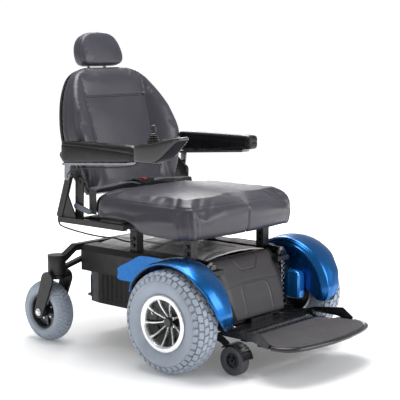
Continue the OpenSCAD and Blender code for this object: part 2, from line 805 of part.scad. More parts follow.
mat_half = concat([[188, -366], [194, -420], [222, -432]], plate_curve(14));
plate_outline = concat(plate_half, [for (i = [len(plate_half) - 1:-1:0])
    [-plate_half[i][0], plate_half[i][1]]]);
module footplate() {
    color("black") {
        translate([0, 0, plate_top - plate_t]) linear_extrude(plate_t) polygon(plate_outline);
        both() slab_x(196, 204) difference() {
            union() {
                link2d([hinge_y, hinge_z], 9, [-352, plate_top - 6], 7);
            }
            translate([hinge_y, hinge_z]) circle(hinge_r + play);
        }
    }
}
module footplate_mat() {
    color("dimgray") translate([0, 0, plate_top + 0.02]) linear_extrude(mat_t)
        polygon(concat(mat_half, [for (i = [len(mat_half) - 1:-1:0])
            [-mat_half[i][0], mat_half[i][1]]]));
}

// ---------- every node ----------
main_frame();
battery_tray();
batteries();
power_module();
front_shroud();
top_cover();
body_panels();
blue_trims();
fenders();
gear_motors();
spring_housings();
suspension_springs();
seat_towers();
seat_frame();
seat_cushion();
arm_posts();
belt_webbing();
belt_buckle();
buckle_button();
harness_cable();
footplate_carrier();
footplate();
footplate_mat();
drive_tyre(-1);  // drive_tyre_right
drive_rim(-1);  // drive_rim_right
drive_hub(-1);  // drive_hub_right
drive_tyre(1);  // drive_tyre_left
drive_rim(1);  // drive_rim_left
drive_hub(1);  // drive_hub_left
rear_beam();
caster_fork(-1);  // caster_fork_right
caster_tyre(-1);  // caster_tyre_right
caster_rim(-1);  // caster_rim_right
caster_fork(1);  // caster_fork_left
caster_tyre(1);  // caster_tyre_left
caster_rim(1);  // caster_rim_left
antitip_arm(-1);  // antitip_arm_right
antitip_wheel(-1);  // antitip_wheel_right
antitip_arm(1);  // antitip_arm_left
antitip_wheel(1);  // antitip_wheel_left
armrest_pad(-1);  // armrest_pad_right
armrest_rail(-1);  // armrest_rail_right
armrest_pad(1);  // armrest_pad_left
armrest_rail(1);  // armrest_rail_left
controller_case();
joystick_gimbal();
joystick();
joystick_gaiter();
power_button();
horn_button();
speed_dial();
controller_cable();
back_frame();
back_shell();
back_cushion();
headrest_posts();
headrest_pad();
recline_lever();
freewheel_lever(-1);  // freewheel_lever_right
freewheel_lever(1);  // freewheel_lever_left
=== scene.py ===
import math
import bmesh
import bpy
import numpy as np
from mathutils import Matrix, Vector


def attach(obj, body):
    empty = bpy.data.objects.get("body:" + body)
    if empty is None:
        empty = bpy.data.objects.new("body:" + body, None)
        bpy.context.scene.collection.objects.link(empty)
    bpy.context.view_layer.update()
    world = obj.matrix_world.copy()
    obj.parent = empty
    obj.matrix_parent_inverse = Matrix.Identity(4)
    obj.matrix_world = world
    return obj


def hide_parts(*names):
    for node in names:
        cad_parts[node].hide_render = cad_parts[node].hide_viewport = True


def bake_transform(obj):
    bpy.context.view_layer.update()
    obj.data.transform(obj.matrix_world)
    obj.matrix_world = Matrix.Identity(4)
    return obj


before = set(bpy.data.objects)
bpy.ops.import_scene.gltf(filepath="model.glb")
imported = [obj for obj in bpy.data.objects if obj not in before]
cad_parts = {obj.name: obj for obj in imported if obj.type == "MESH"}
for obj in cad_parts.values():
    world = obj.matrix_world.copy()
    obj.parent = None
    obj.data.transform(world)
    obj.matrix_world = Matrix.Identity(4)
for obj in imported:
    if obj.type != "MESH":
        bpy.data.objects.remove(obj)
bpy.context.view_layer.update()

MM = 0.001  # shapes are in mm, the scene in metres
SIDES = (("right", -1), ("left", 1))
scene = bpy.context.scene


# ---------------------------------------------------------------- camera
CAMERA_AT = (-3.0536, -2.6216, 1.0832)
CAMERA_YAW, CAMERA_PITCH = math.radians(49.08), math.radians(8.34)
CAMERA_LENS, CAMERA_SHIFT_Y = 101.94, 0.0253


def make_camera():
    data = bpy.data.cameras.new("camera")
    camera = bpy.data.objects.new("camera", data)
    scene.collection.objects.link(camera)
    flat = math.cos(CAMERA_PITCH)
    forward = Vector((math.sin(CAMERA_YAW) * flat, math.cos(CAMERA_YAW) * flat,
                      -math.sin(CAMERA_PITCH)))
    camera.location = CAMERA_AT
    camera.rotation_mode = "QUATERNION"
    camera.rotation_quaternion = forward.to_track_quat("-Z", "Y")
    data.lens, data.sensor_width, data.shift_y = CAMERA_LENS, 36, CAMERA_SHIFT_Y
    data.clip_start, data.clip_end = 0.1, 200
    scene.camera = camera


make_camera()


# ---------------------------------------------------------------- materials
def nodes_of(name):
    m = bpy.data.materials.new(name)
    m.use_nodes = True
    tree = m.node_tree
    return m, tree, tree.nodes["Principled BSDF"]


def link(tree, a, out, b, into):
    tree.links.new(a.outputs[out], b.inputs[into])


def noise(tree, coord, scale, detail=3.0, rough=0.55, stretch=None):
    n = tree.nodes.new("ShaderNodeTexNoise")
    n.inputs["Scale"].default_value = scale
    n.inputs["Detail"].default_value = detail
    n.inputs["Roughness"].default_value = rough
    if stretch:
        mp = tree.nodes.new("ShaderNodeMapping")
        mp.inputs["Scale"].default_value = stretch
        link(tree, coord, "Object", mp, "Vector")
        link(tree, mp, "Vector", n, "Vector")
    else:
        link(tree, coord, "Object", n, "Vector")
    return n


def ramp(tree, source, out, lo, hi, a, b):
    r = tree.nodes.new("ShaderNodeMapRange")
    for key, value in zip(("From Min", "From Max", "To Min", "To Max"), (lo, hi, a, b)):
        r.inputs[key].default_value = value
    link(tree, source, out, r, "Value")
    return r


def tint(tree, source, out, dark, light):
    c = tree.nodes.new("ShaderNodeValToRGB")
    ends = c.color_ramp.elements
    for end, position, colour in zip(ends, (0.3, 0.7), (dark, light)):
        end.position, end.color = position, (*colour, 1)
    link(tree, source, out, c, "Fac")
    return c


def finish(name, colour, rough=0.5, vary=0.15, patch=9, rough_vary=0.08, grain=0, depth=0.0,
           grain_kind="noise", stretch=None, metallic=0.0, coat=0.0, coat_rough=0.1, sheen=0.0,
           specular=0.5):
    """A surface with patches of slightly different tone and gloss, and a fine relief.
    patch and grain are texture scales per metre; depth is the relief's height in mm."""
    m, tree, shader = nodes_of(name)
    coord = tree.nodes.new("ShaderNodeTexCoord")
    patches = noise(tree, coord, patch, 5, 0.6, stretch)
    dark = [c * (1 - vary) for c in colour]
    light = [min(1, c * (1 + vary)) for c in colour]
    link(tree, tint(tree, patches, "Fac", dark, light), "Color", shader, "Base Color")
    fine = noise(tree, coord, patch * 5, 4, 0.6, stretch)
    link(tree, ramp(tree, fine, "Fac", 0.3, 0.7, rough - rough_vary, rough + rough_vary),
         "Result", shader, "Roughness")
    for key, value in (("Metallic", metallic), ("Coat Weight", coat), ("Sheen Weight", sheen),
                       ("Coat Roughness", coat_rough), ("Specular IOR Level", specular)):
        shader.inputs[key].default_value = value
    if grain:
        if grain_kind == "noise":
            source, out = noise(tree, coord, grain, 2, 0.5), "Fac"
        else:
            leather = grain_kind == "leather"
            source = tree.nodes.new("ShaderNodeTexVoronoi" if leather else "ShaderNodeTexWave")
            source.inputs["Scale"].default_value = grain
            link(tree, coord, "Object", source, "Vector")
            out = "Distance" if leather else "Fac"
            if not leather:
                source.bands_direction = "Y"
                source.inputs["Distortion"].default_value = 0.3
        bump = tree.nodes.new("ShaderNodeBump")
        bump.inputs["Strength"].default_value = 0.6
        bump.inputs["Distance"].default_value = depth * MM
        link(tree, source, out, bump, "Height")
        link(tree, bump, "Normal", shader, "Normal")
    return m


# colour, roughness, how much the tone varies, patch scale, how much the roughness varies,
# grain scale, relief
M = {
    "tyre": finish("tyre_grey", (0.34, 0.385, 0.455), 0.62, 0.10, 14, 0.06, 900, 0.25),
    "caster_tyre": finish("caster_tyre_grey", (0.32, 0.365, 0.43), 0.6, 0.10, 14, 0.06, 900, 0.25),
    "silver": finish("rim_silver", (0.86, 0.87, 0.88), 0.24, 0.04, 20, 0.06, 260, 0.05,
                     metallic=0.75, coat=0.3),
    "hub": finish("hub_black", (0.006, 0.006, 0.007), 0.34, 0.3, 16, 0.08, 700, 0.08, coat=0.4),
    "frame": finish("frame_black", (0.007, 0.007, 0.008), 0.42, 0.3, 12, 0.1, 420, 0.06),
    "fork": finish("fork_black", (0.010, 0.010, 0.011), 0.42, 0.25, 12, 0.1, 420, 0.07),
    "blue": finish("blue_paint", (0.003, 0.115, 0.37), 0.28, 0.10, 5, 0.04, 1500, 0.02,
                   metallic=0.9, coat=0.35, coat_rough=0.05),
    # a lighter copy of the blue paint for the corner boxes: painted light, lifting them out of the
    # shade they sit in
    "blue_painted_light": finish("blue_paint_painted_light", (0.012, 0.20, 0.60), 0.24, 0.10, 5, 0.04, 1500, 0.02,
                       metallic=0.6, coat=0.5),
    "lip": finish("lip_black", (0.008, 0.008, 0.010), 0.5, 0.2, 12, 0.08, 500, 0.1),
    "shroud": finish("shroud_charcoal", (0.033, 0.029, 0.031), 0.46, 0.12, 8, 0.06, 800, 0.22),
    "panel": finish("panel_black", (0.009, 0.008, 0.009), 0.5, 0.2, 8, 0.08, 800, 0.22),
    "cover": finish("cover_silver", (0.55, 0.52, 0.53), 0.36, 0.3, 4, 0.1, 500, 0.15,
                    stretch=(1, 4, 1)),
    "vinyl": finish("vinyl_black", (0.038, 0.037, 0.049), 0.36, 0.18, 6, 0.07, 520, 0.16,
                    "leather", coat=0.12, coat_rough=0.3),
    "arm": finish("arm_vinyl", (0.005, 0.0044, 0.006), 0.30, 0.2, 7, 0.07, 620, 0.14,
                  "leather", specular=0.35),
    "steel": finish("bright_steel", (0.72, 0.73, 0.75), 0.26, 0.06, 20, 0.08, 300, 0.05,
                    metallic=1.0),
    "rail": finish("rail_steel", (0.26, 0.27, 0.29), 0.34, 0.12, 16, 0.08, 300, 0.06, metallic=0.8),
    "lever": finish("lever_grey", (0.10, 0.11, 0.14), 0.4, 0.15, 20, 0.08, 500, 0.1,
                    metallic=0.3),
    "battery": finish("battery_case", (0.06, 0.065, 0.07), 0.5, 0.15, 12, 0.08, 500, 0.2),
    "alloy": finish("module_alloy", (0.42, 0.43, 0.44), 0.45, 0.15, 16, 0.1, 400, 0.25,
                    metallic=0.9),
    "motor": finish("motor_black", (0.02, 0.02, 0.022), 0.42, 0.25, 12, 0.1, 420, 0.07),
    "webbing": finish("webbing", (0.014, 0.014, 0.016), 0.62, 0.2, 30, 0.08, 180, 0.5,
                      "lines", sheen=0.3),
    "red": finish("red_key", (0.42, 0.02, 0.018), 0.4, 0.15, 30, 0.08, 600, 0.1),
    "green": finish("green_key", (0.03, 0.22, 0.05), 0.4, 0.15, 30, 0.08, 600, 0.1),
    "yellow": finish("yellow_lever", (0.50, 0.30, 0.02), 0.45, 0.15, 20, 0.08, 600, 0.15),
    "keypad": finish("keypad_grey", (0.16, 0.16, 0.17), 0.5, 0.1, 30, 0.08, 700, 0.1),
    "case": finish("controller_black", (0.006, 0.006, 0.008), 0.18, 0.2, 10, 0.06, 900, 0.06,
                   coat=0.5, coat_rough=0.12),
    "gaiter": finish("gaiter_black", (0.010, 0.010, 0.011), 0.45, 0.2, 20, 0.08, 600, 0.1),
    "mat": finish("mat_rubber", (0.080, 0.075, 0.080), 0.55, 0.15, 10, 0.08, 700, 0.2),
    "plate": finish("plate_black", (0.010, 0.010, 0.011), 0.24, 0.2, 10, 0.08, 600, 0.05,
                    coat=0.2, coat_rough=0.2),
    "cable": finish("cable_black", (0.012, 0.012, 0.013), 0.48, 0.2, 30, 0.06, 500, 0.1),
    "antitip": finish("antitip_rubber", (0.060, 0.062, 0.072), 0.55, 0.12, 14, 0.06, 900, 0.2),
    "caster_rim": finish("caster_alloy", (0.020, 0.024, 0.026), 0.22, 0.3, 16, 0.06, 500, 0.1,
                         metallic=0.5, coat=0.5),
    "spring": finish("spring_steel", (0.16, 0.16, 0.17), 0.28, 0.1, 20, 0.06, 300, 0.08,
                     metallic=1.0),
    "label": finish("label_pale", (0.75, 0.75, 0.73), 0.5, 0.05, 20, 0.05, 500, 0.05),
}


# ---------------------------------------------------------------- mesh helpers, in mm
class Shape:
    """Points and faces in mm, gathered until a piece is made of them."""

    def __init__(self):
        self.points, self.faces, self.marks = [], [], []

    def add(self, points, faces, mark=0):
        start = len(self.points)
        self.points += [tuple(p) for p in points]
        self.faces += [[i + start for i in f] for f in faces]
        self.marks += [mark] * len(faces)
        return self

    def rings(self, rings, mark=0, loop=False, caps=True):
        """A skin over closed rings of equally many points."""
        n, count = len(rings[0]), len(rings)
        faces = [[i * n + k, i * n + (k + 1) % n, (i + 1) % count * n + (k + 1) % n,
                  (i + 1) % count * n + k]
                 for i in range(count if loop else count - 1) for k in range(n)]
        if caps and not loop:
            faces += [list(range(n)), [(count - 1) * n + k for k in range(n - 1, -1, -1)]]
        return self.add([p for r in rings for p in r], faces, mark)

    def turned(self, profile, centre, steps=64, mark=0, axis="x"):
        """A solid turned about an axis; the closed profile is [radius, distance along]."""
        rings = []
        for i in range(steps):
            a = 2 * math.pi * i / steps
            rings.append([about(axis, centre, r, a, d) for r, d in profile])
        return self.rings(rings, mark, loop=True)

    def box(self, lo, hi, mark=0):
        (x0, y0, z0), (x1, y1, z1) = lo, hi
        return self.rings([[(x0, y0, z), (x1, y0, z), (x1, y1, z), (x0, y1, z)]
                           for z in (z0, z1)], mark)

    def prism(self, outline, axis, a, b, mark=0):
        """A flat outline, thick from a to b along x, y or z."""
        place = {"x": lambda p, t: (t, *p), "y": lambda p, t: (p[0], t, p[1]),
                 "z": lambda p, t: (*p, t)}[axis]
        return self.rings([[place(p, t) for p in outline] for t in (a, b)], mark)

    def tube(self, path, radius, sides=10, mark=0):
        path = [Vector(p) for p in path]
        rings, side = [], None
        for i, p in enumerate(path):
            along = (path[min(i + 1, len(path) - 1)] - path[max(i - 1, 0)]).normalized()
            side = along.orthogonal() if side is None else side - along * side.dot(along)
            side.normalize()
            other = along.cross(side)
            rings.append([p + radius * (math.cos(a) * side + math.sin(a) * other)
                          for a in (2 * math.pi * k / sides for k in range(sides))])
        return self.rings(rings, mark)

    def on(self, side):
        """Shapes are drawn on the left; side -1 puts them on the sitter's right."""
        if side < 0:
            self.points = [(-x, y, z) for x, y, z in self.points]
            self.faces = [list(reversed(f)) for f in self.faces]
        return self


def about(axis, centre, r, a, d):
    """A point r from an axis through centre at angle a, d along it."""
    x, y, z = centre
    c, s = r * math.cos(a), r * math.sin(a)
    return {"x": (x + d, y + s, z + c), "y": (x + c, y + d, z + s), "z": (x + c, y + s, z + d)}[axis]


def smooth_line(points, steps=6, closed=False):
    """Points of a smooth curve through the given ones."""
    p = [np.array(q, float) for q in points]
    n, out = len(p), []
    for i in range(n if closed else n - 1):
        a, b, c, d = ((p[(i - 1) % n], p[i], p[(i + 1) % n], p[(i + 2) % n]) if closed else
                      (p[max(i - 1, 0)], p[i], p[i + 1], p[min(i + 2, n - 1)]))
        for k in range(steps):
            t = k / steps
            out.append(0.5 * (2 * b + (c - a) * t + (2 * a - 5 * b + 4 * c - d) * t * t
                              + (3 * b - a - 3 * c + d) * t ** 3))
    return out if closed else out + [p[-1]]


def direction(line, i):
    """Unit normal of a line of 2-D points at its point i."""
    x0, y0 = line[max(i - 1, 0)]
    x1, y1 = line[min(i + 1, len(line) - 1)]
    d = math.hypot(x1 - x0, y1 - y0)
    return (y1 - y0) / d, -(x1 - x0) / d


def both_halves(half):
    """A closed outline from its right half."""
    return half + [(-x, y) for x, y in reversed(half)]


def arc(cx, cy, r, a0, a1, n=8):
    return [(cx + r * math.cos(math.radians(a0 + (a1 - a0) * i / n)),
             cy + r * math.sin(math.radians(a0 + (a1 - a0) * i / n))) for i in range(n + 1)]


def rounded(w, h, r, cx=0, cy=0, n=4):
    """A rounded rectangle, w by h."""
    out = []
    for sx, sy, a in ((1, 1, 0), (-1, 1, 90), (-1, -1, 180), (1, -1, 270)):
        out += arc(cx + sx * (w / 2 - r), cy + sy * (h / 2 - r), r, a, a + 90, n)
    return out


def mesh_of(name, shape, weld=True):
    mesh = bpy.data.meshes.new(name)
    mesh.from_pydata([[c * MM for c in p] for p in shape.points], [], shape.faces)
    mesh.polygons.foreach_set("material_index", shape.marks)
    bm = bmesh.new()
    bm.from_mesh(mesh)
    if weld:
        bmesh.ops.remove_doubles(bm, verts=bm.verts, dist=1e-6)
    bmesh.ops.recalc_face_normals(bm, faces=bm.faces)
    bm.to_mesh(mesh)
    bm.free()
    return mesh


def make(name, shape, body, mats, replaces=None, bevel=0, segments=2, angle=40):
    """A piece that rides on body; where body is a tuple (a, b, start, end) it is only baked in place
    and rides on no body.
    """
    mesh = mesh_of(name, shape)
    for m in mats:
        mesh.materials.append(M[m])
    mesh.shade_smooth()
    mesh.set_sharp_from_angle(angle=math.radians(angle))
    obj = bpy.data.objects.new(name, mesh)
    scene.collection.objects.link(obj)
    if bevel:
        mod = obj.modifiers.new("edges", "BEVEL")
        mod.width, mod.segments = bevel * MM, segments
        mod.limit_method, mod.angle_limit = "ANGLE", math.radians(angle)
        mod.harden_normals = True
    if isinstance(body, tuple):
        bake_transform(obj)
    else:
        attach(obj, body)
    if replaces:
        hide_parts(replaces)
    return obj


# ---------------------------------------------------------------- cords
HARNESS_ROUTE = [(-300, 446, 452), (-300, 447, 440), (-300, 440, 430), (-299, 420, 424),
                 (-297, 380, 418), (-293, 330, 412), (-286, 280, 407), (-274, 235, 404),
                 (-258, 200, 402), (-240, 174, 393), (-221, 160, 388)]
LEAD_ROUTE = [(-330, 16, 687), (-330, 40, 677), (-328, 70, 670), (-326, 130, 664),
              (-325, 200, 658), (-325, 270, 652), (-325, 330, 646), (-324, 356, 636),
              (-323, 372, 622)]


def make_cable(name, route, diameter, body, node):
    line = smooth_line(route, 3)
    shape = Shape().tube(line, diameter / 2, 10)
    obj = make(name, shape, body, ["cable"], node)
    length = sum(math.dist(a, b) for a, b in zip(line, line[1:])) * MM
    return obj, [tuple(float(c) * MM for c in p) for p in line], length


harness, harness_line, harness_length = make_cable("harness_cord", HARNESS_ROUTE, 6, "base",
                                                   "harness_cable")
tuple(harness_line[0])
make_cable("controller_lead", LEAD_ROUTE, 5, "armrest_right", "controller_cable")


# ---------------------------------------------------------------- wheels
AXLE_Y, AXLE_Z, TYRE_R, TYRE_X = -155, 175, 175, 352


def tread_place(t, depth, half_flat, shoulder, crown_r):
    """Distance along the axle and radius, t mm round the tyre from its middle line."""
    flat = max(-half_flat, min(half_flat, t))
    a = (t - flat) / shoulder
    r = shoulder - depth
    return flat + r * math.sin(a), crown_r - shoulder + r * math.cos(a)


def tread_block(shape, centre, t0, t1, a0, a1, skew, depth, place, mark=0):
    """One raised block of a tread, chamfered round its top. It reaches from t0 to t1 across the
    tread and from angle a0 to a1 round it."""
    nt, na, cut = 2, 3, 1.3

    def at(u, v, d, grow):
        t = t0 - grow + (t1 - t0 + 2 * grow) * u
        wide = (a1 - a0) * (1 + 2 * grow / 28)
        a = (a0 + a1) / 2 + wide * (v - 0.5) + skew * (u - 0.5)
        dx, r = place(t, d)
        return about("x", centre, r, a, dx)

    edge = ([(i / nt, 0) for i in range(nt)] + [(1, k / na) for k in range(na)]
            + [(1 - i / nt, 1) for i in range(nt)] + [(0, 1 - k / na) for k in range(na)])
    shape.rings([[at(u, v, d, g) for u, v in edge]
                 for d, g in ((depth + 1, 0.8), (cut, 0), (0, -cut))], mark, caps=False)
    top = [at(u / nt, v / na, 0, -cut) for u in range(nt + 1) for v in range(na + 1)]
    shape.add(top, [[u * (na + 1) + v, u * (na + 1) + v + 1, (u + 1) * (na + 1) + v + 1,
                     (u + 1) * (na + 1) + v] for u in range(nt) for v in range(na)], mark)


def drive_tyre(name, s):
    centre = (TYRE_X, AXLE_Y, AXLE_Z)
    shape = Shape()
    place = lambda t, d: tread_place(t, d, 16, 42, TYRE_R)
    tread_depth = 7
    line = [(98, 43.5), (92.3, 36), (92.3, -36), (98, -43.5)]
    for i in range(-22, 23):
        t = i * 4.4
        d = tread_depth * max(0.0, min(1.0, (76 - abs(t)) / 12)) if abs(t) < 76 else 0
        dx, r = place(t, d)
        line.append((r, dx))
    shape.turned(line, centre, 120)
    count = 38
    step = 2 * math.pi / count
    # from, to, share of the pitch filled, skew, shift in pitches
    rows = ((-9, 9, 0.84, 0.012, 0), (12.5, 30, 0.76, -0.016, 0.5), (33, 50, 0.84, 0.012, 0),
            (53, 71, 0.70, -0.012, 0.5), (-30, -12.5, 0.76, 0.016, 0.5),
            (-50, -33, 0.84, -0.012, 0), (-71, -53, 0.70, 0.012, 0.5))
    for t0, t1, fill, skew, shift in rows:
        for i in range(count):
            a = i * step + step * shift
            tread_block(shape, centre, t0, t1, a - step * fill / 2, a + step * fill / 2, skew,
                        tread_depth, place)
    # a raised line round each side wall
    for dx in (-1, 1):
        shape.turned([(128, dx * 57.4), (129.5, dx * 58), (131, dx * 57.4), (129.5, dx * 56.5)],
                     centre, 96)
    make(f"drive_tyre_{name}_skin", shape.on(s), f"drive_wheel_{name}", ["tyre"],
         f"drive_tyre_{name}", angle=35)


def drive_rim(name, s):
    centre = (TYRE_X, AXLE_Y, AXLE_Z)
    lip = [(77, 38), (78, 44), (80.5, 47.6), (84, 49.5), (92, 49.6), (95.5, 48.6), (97.2, 46.4),
           (97.4, 44.3), (91.6, 36.4), (91.6, -39), (84, -39), (84, 20)]
    metal = Shape().turned(smooth_line(lip[:8], 3) + lip[8:], centre, 96)
    # spokes, from the deep hub out to the lip
    for i in range(9):
        base = 2 * math.pi * (i + 0.35) / 9
        rings = []
        for k in range(9):
            t = k / 8
            r = 12 + 68 * t
            dx = 10 + 34 * t ** 0.9
            a = base + 0.07 * math.sin(math.pi * t)
            half = (1.9 + 1.3 * t + (2.6 * (t - 0.85) / 0.15 if t > 0.85 else 0)) / r
            rings.append([about("x", centre, r, a + half * side, dx + up) for side, up in
                          ((-1, 0), (-0.6, 1.5), (0.6, 1.5), (1, 0), (1, -7), (-1, -7))])
        metal.rings(rings)
    make(f"drive_rim_{name}_metal", metal.on(s), f"drive_wheel_{name}",
         ["silver"], f"drive_rim_{name}", angle=35)
    dish = Shape().turned([(10.2, -2), (24, 0), (60, 14), (70, 22), (83.6, 30), (83.6, 18),
                           (60, 2), (10.2, -10)], centre, 72)
    # pockets between the spokes
    for i in range(9):
        a = 2 * math.pi * (i + 0.85) / 9 + 0.1
        dish.rings([[about("x", centre, r, a + w, dx + up) for r, w, dx in
                     ((50, -0.17, 16.5), (50, 0.17, 16.5), (75, 0.2, 27), (75, -0.2, 27))]
                    for up in (0, 2.5)])
    make(f"drive_rim_{name}_dish", dish.on(s), f"drive_wheel_{name}", ["hub"])
    cap = [(0.1, -120), (10, -120), (10, 14), (16, 14), (16, 19), (13.5, 22), (0.1, 22)]
    hub = Shape().turned(cap, centre, 48)
    hub.turned([(10.2, -60), (20, -60), (20, -11), (10.2, -11)], centre, 40)
    for i in range(5):
        a = 2 * math.pi * (i + 0.3) / 5
        c = about("x", centre, 24, a, 0)
        hub.turned([(0.1, 5), (4.6, 5), (4.6, 11.5), (3.6, 12.6), (0.1, 12.6)], c, 6, 1)
    valve = [about("x", centre, 70 - 16 * t, 1.1, 32 + 10 * t) for t in (0, 0.4, 0.7, 1)]
    hub.tube(valve, 2.6, 8, 1)
    make(f"drive_hub_{name}_cap", hub.on(s), f"drive_wheel_{name}",
         ["hub", "steel"], f"drive_hub_{name}", bevel=0.4)


CASTER_X, CASTER_Y, CASTER_R = 330, 431 + 47, 112


def caster_wheel(name, s):
    centre = (CASTER_X, CASTER_Y, CASTER_R)
    place = lambda t, d: tread_place(t, d, 4, 34, CASTER_R)
    tyre = Shape()
    line = [(66, 31), (62.3, 26), (62.3, -26), (66, -31)]
    for i in range(-17, 18):
        t = i * 3.9
        dx, r = place(t, 2.6 * max(0.0, min(1.0, (46 - abs(t)) / 6)))
        line.append((r, dx))
    tyre.turned(line, centre, 96)
    count = 44
    step = 2 * math.pi / count
    for row, (t0, t1) in enumerate(((-9, 9), (11, 25), (27, 43), (-25, -11), (-43, -27))):
        for i in range(count):
            a = i * step + (step / 2 if row in (1, 3) else 0)
            tread_block(tyre, centre, t0, t1, a - step * 0.36, a + step * 0.36,
                        0.03 * (1 if t0 > 0 else -1), 2.6, place)
    make(f"caster_tyre_{name}_skin", tyre.on(s), f"caster_wheel_{name}",
         ["caster_tyre"], f"caster_tyre_{name}", angle=35)
    rim = Shape()
    for d in (-1, 1):
        rim.turned([(5.3, d * 36), (15, d * 36), (18, d * 32), (19, d * 14), (40, d * 9),
                    (52, d * 14), (56, d * 24), (58, d * 29), (62, d * 30.5), (64.4, d * 29.6),
                    (61.8, d * 25.4), (61.8, 0), (5.3, 0)], centre, 64)
        for i in range(5):
            a = 2 * math.pi * (i + 0.2) / 5
            c = about("x", centre, 31, a, d * 9)
            rim.turned([(0.1, 0), (4.4, 0), (4.4, d * 6), (3.4, d * 7), (0.1, d * 7)], c, 6, 1)
            rim.rings([[about("x", centre, r, a + 0.63 + w, d * (10 + lift + (r - 22) * 0.1))
                        for r, w in ((20, -0.16), (20, 0.16), (52, 0.07), (52, -0.07))]
                       for lift in (0, 5)])
    make(f"caster_rim_{name}_metal", rim.on(s), f"caster_wheel_{name}",
         ["caster_rim", "steel"], f"caster_rim_{name}", bevel=0.5)


def antitip_wheel(name, s):
    centre = (240, -334, 52)
    wheel = Shape().turned([(27, 14), (29, 16), (44, 18.2), (47.5, 17), (49.6, 14), (50, 8),
                            (50, -8), (49.6, -14), (47.5, -17), (44, -18.2), (29, -16),
                            (27, -14)], centre, 64)
    for i in range(3):
        d = -8 + 8 * i
        wheel.turned([(49.8, d - 0.8), (50, d), (49.8, d + 0.8), (49, d)], centre, 64)
    hub = [(6.3, 17.5), (10, 17.5), (12, 15), (13, 9), (20, 9), (23, 15), (26.8, 15.5)]
    wheel.turned(hub + [(r, -d) for r, d in reversed(hub)], centre, 48, 1)
    for i in range(5):
        a = 2 * math.pi * i / 5
        wheel.rings([[about("x", centre, r, a + w, d) for r, w in
                      ((12, -0.2), (12, 0.2), (22, 0.1), (22, -0.1))] for d in (8, 13)], 1)
    make(f"antitip_wheel_{name}_skin", wheel.on(s), f"antitip_wheel_{name}",
         ["antitip", "hub"], f"antitip_wheel_{name}", angle=35)


def fork_bolts(name, s):
    """Bright washers and nuts on both ends of a caster's axle."""
    bolts = Shape()
    for d in (-1, 1):
        centre = (CASTER_X + d * 51.3, CASTER_Y, CASTER_R)
        bolts.turned([(0.1, 0), (13, 0), (13, d * 1.4), (0.1, d * 1.4)], centre, 28)
        bolts.turned([(0.1, d * 1.2), (10.4, d * 1.2), (10.4, d * 5.4), (8.6, d * 6.4),
                      (0.1, d * 6.4)], centre, 6)
    make(f"caster_axle_nuts_{name}", bolts.on(s), f"caster_fork_{name}", ["steel"],
         bevel=0.5)


for name, s in SIDES:
    fork_bolts(name, s)
    drive_tyre(name, s)
    drive_rim(name, s)
    caster_wheel(name, s)
    antitip_wheel(name, s)


# ---------------------------------------------------------------- covers
def wheel_point(x, r, a):
    """A point at distance r from the drive axle, a degrees from straight up toward the front."""
    t = math.radians(a)
    return (x, AXLE_Y - r * math.sin(t), AXLE_Z + r * math.cos(t))


def blend_table(table, a):
    """Interpolates rows of (angle, value, value ...) smoothly at a."""
    rows = sorted(table)
    a = max(rows[0][0], min(rows[-1][0], a))
    for p, q in zip(rows, rows[1:]):
        if p[0] <= a <= q[0]:
            t = (a - p[0]) / (q[0] - p[0])
            t = t * t * (3 - 2 * t)
            return [u + (v - u) * t for u, v in zip(p[1:], q[1:])]


FENDER_FROM, FENDER_TO, FENDER_STEPS = -66, 93, 60
FENDER_WALL = 4.0


def fender(name, s):
    """A wide curved guard, narrowing to a rounded tip in front, with a black strip under its edge
    that is partly a real liner and partly painted shade between tyre and guard.
    """
    # angle, outer lip x, lip radius, crown x, crown radius, bevel x, bevel radius, inner wall r
    table = [(-66, 372, 190, 318, 200, 268, 190, 120), (-54, 380, 193, 322, 204, 264, 192, 108),
             (0, 381, 194, 325, 208, 264, 194, 107), (40, 380, 194, 325, 208, 264, 194, 107),
             (60, 364, 194, 318, 206, 264, 193, 108), (78, 345, 193, 306, 202, 264, 191, 116),
             (88, 322, 191, 292, 197, 266, 190, 140), (93, 300, 189, 285, 192, 268, 188, 160)]
    guard, lip = [], []
    for i in range(FENDER_STEPS + 1):
        a = FENDER_FROM + (FENDER_TO - FENDER_FROM) * i / FENDER_STEPS
        lx, lr, cx, cr, bx, br, wr = blend_table(table, a)
        line = smooth_line([(lx, lr), (lx - 3, lr + 6), (cx + 22, cr - 1.5), (cx, cr),
                            (cx - 24, cr - 2), (bx + 9, br + 8.5), (bx, br), (bx - 8, br - 9),
                            (254, br - 24), (253, wr)], 3)
        under = []
        for k, (x, r) in enumerate(line):
            nx, nr = direction(line, k)
            x, r = x + nx * FENDER_WALL, r - abs(nr) * FENDER_WALL
            under.append((max(x, 256.5) if k > 20 else x - (4 if k < 3 else 0), r))
        guard.append([wheel_point(x, r, a) for x, r in list(line) + under[::-1]])
        # a black strip under the outer edge: partly a real liner, partly painted shade in the gap
        # over the tyre
        lip.append([wheel_point(lx - inward, lr + out, a) for inward, out in
                    ((1, -0.5), (4, -4.5), (30, -3), (46, 1), (46, 3.5), (22, 5.5), (5, 3.4))])
    make(f"fender_{name}", Shape().rings(guard).on(s), "base", ["blue"], "fenders",
         angle=50)
    make(f"fender_liner_and_shade_{name}", Shape().rings(lip).on(s), "base", ["lip"],
         "fenders", angle=50)


for name, s in SIDES:
    fender(name, s)

# side of the shroud, as [y, z] from the rear top edge down to the floor side
SHROUD_LINE = [(-143, 350.5), (-160, 351.5), (-172, 346), (-186, 330), (-202, 302), (-217, 274),
               (-231, 242), (-243, 210), (-251, 180), (-257.5, 153), (-252, 146.5)]


def groove(d, half, depth):
    """Depth of a soft groove, d mm from its line."""
    return depth * max(0.0, 1 - (d / half) ** 2) if d < half else 0.0


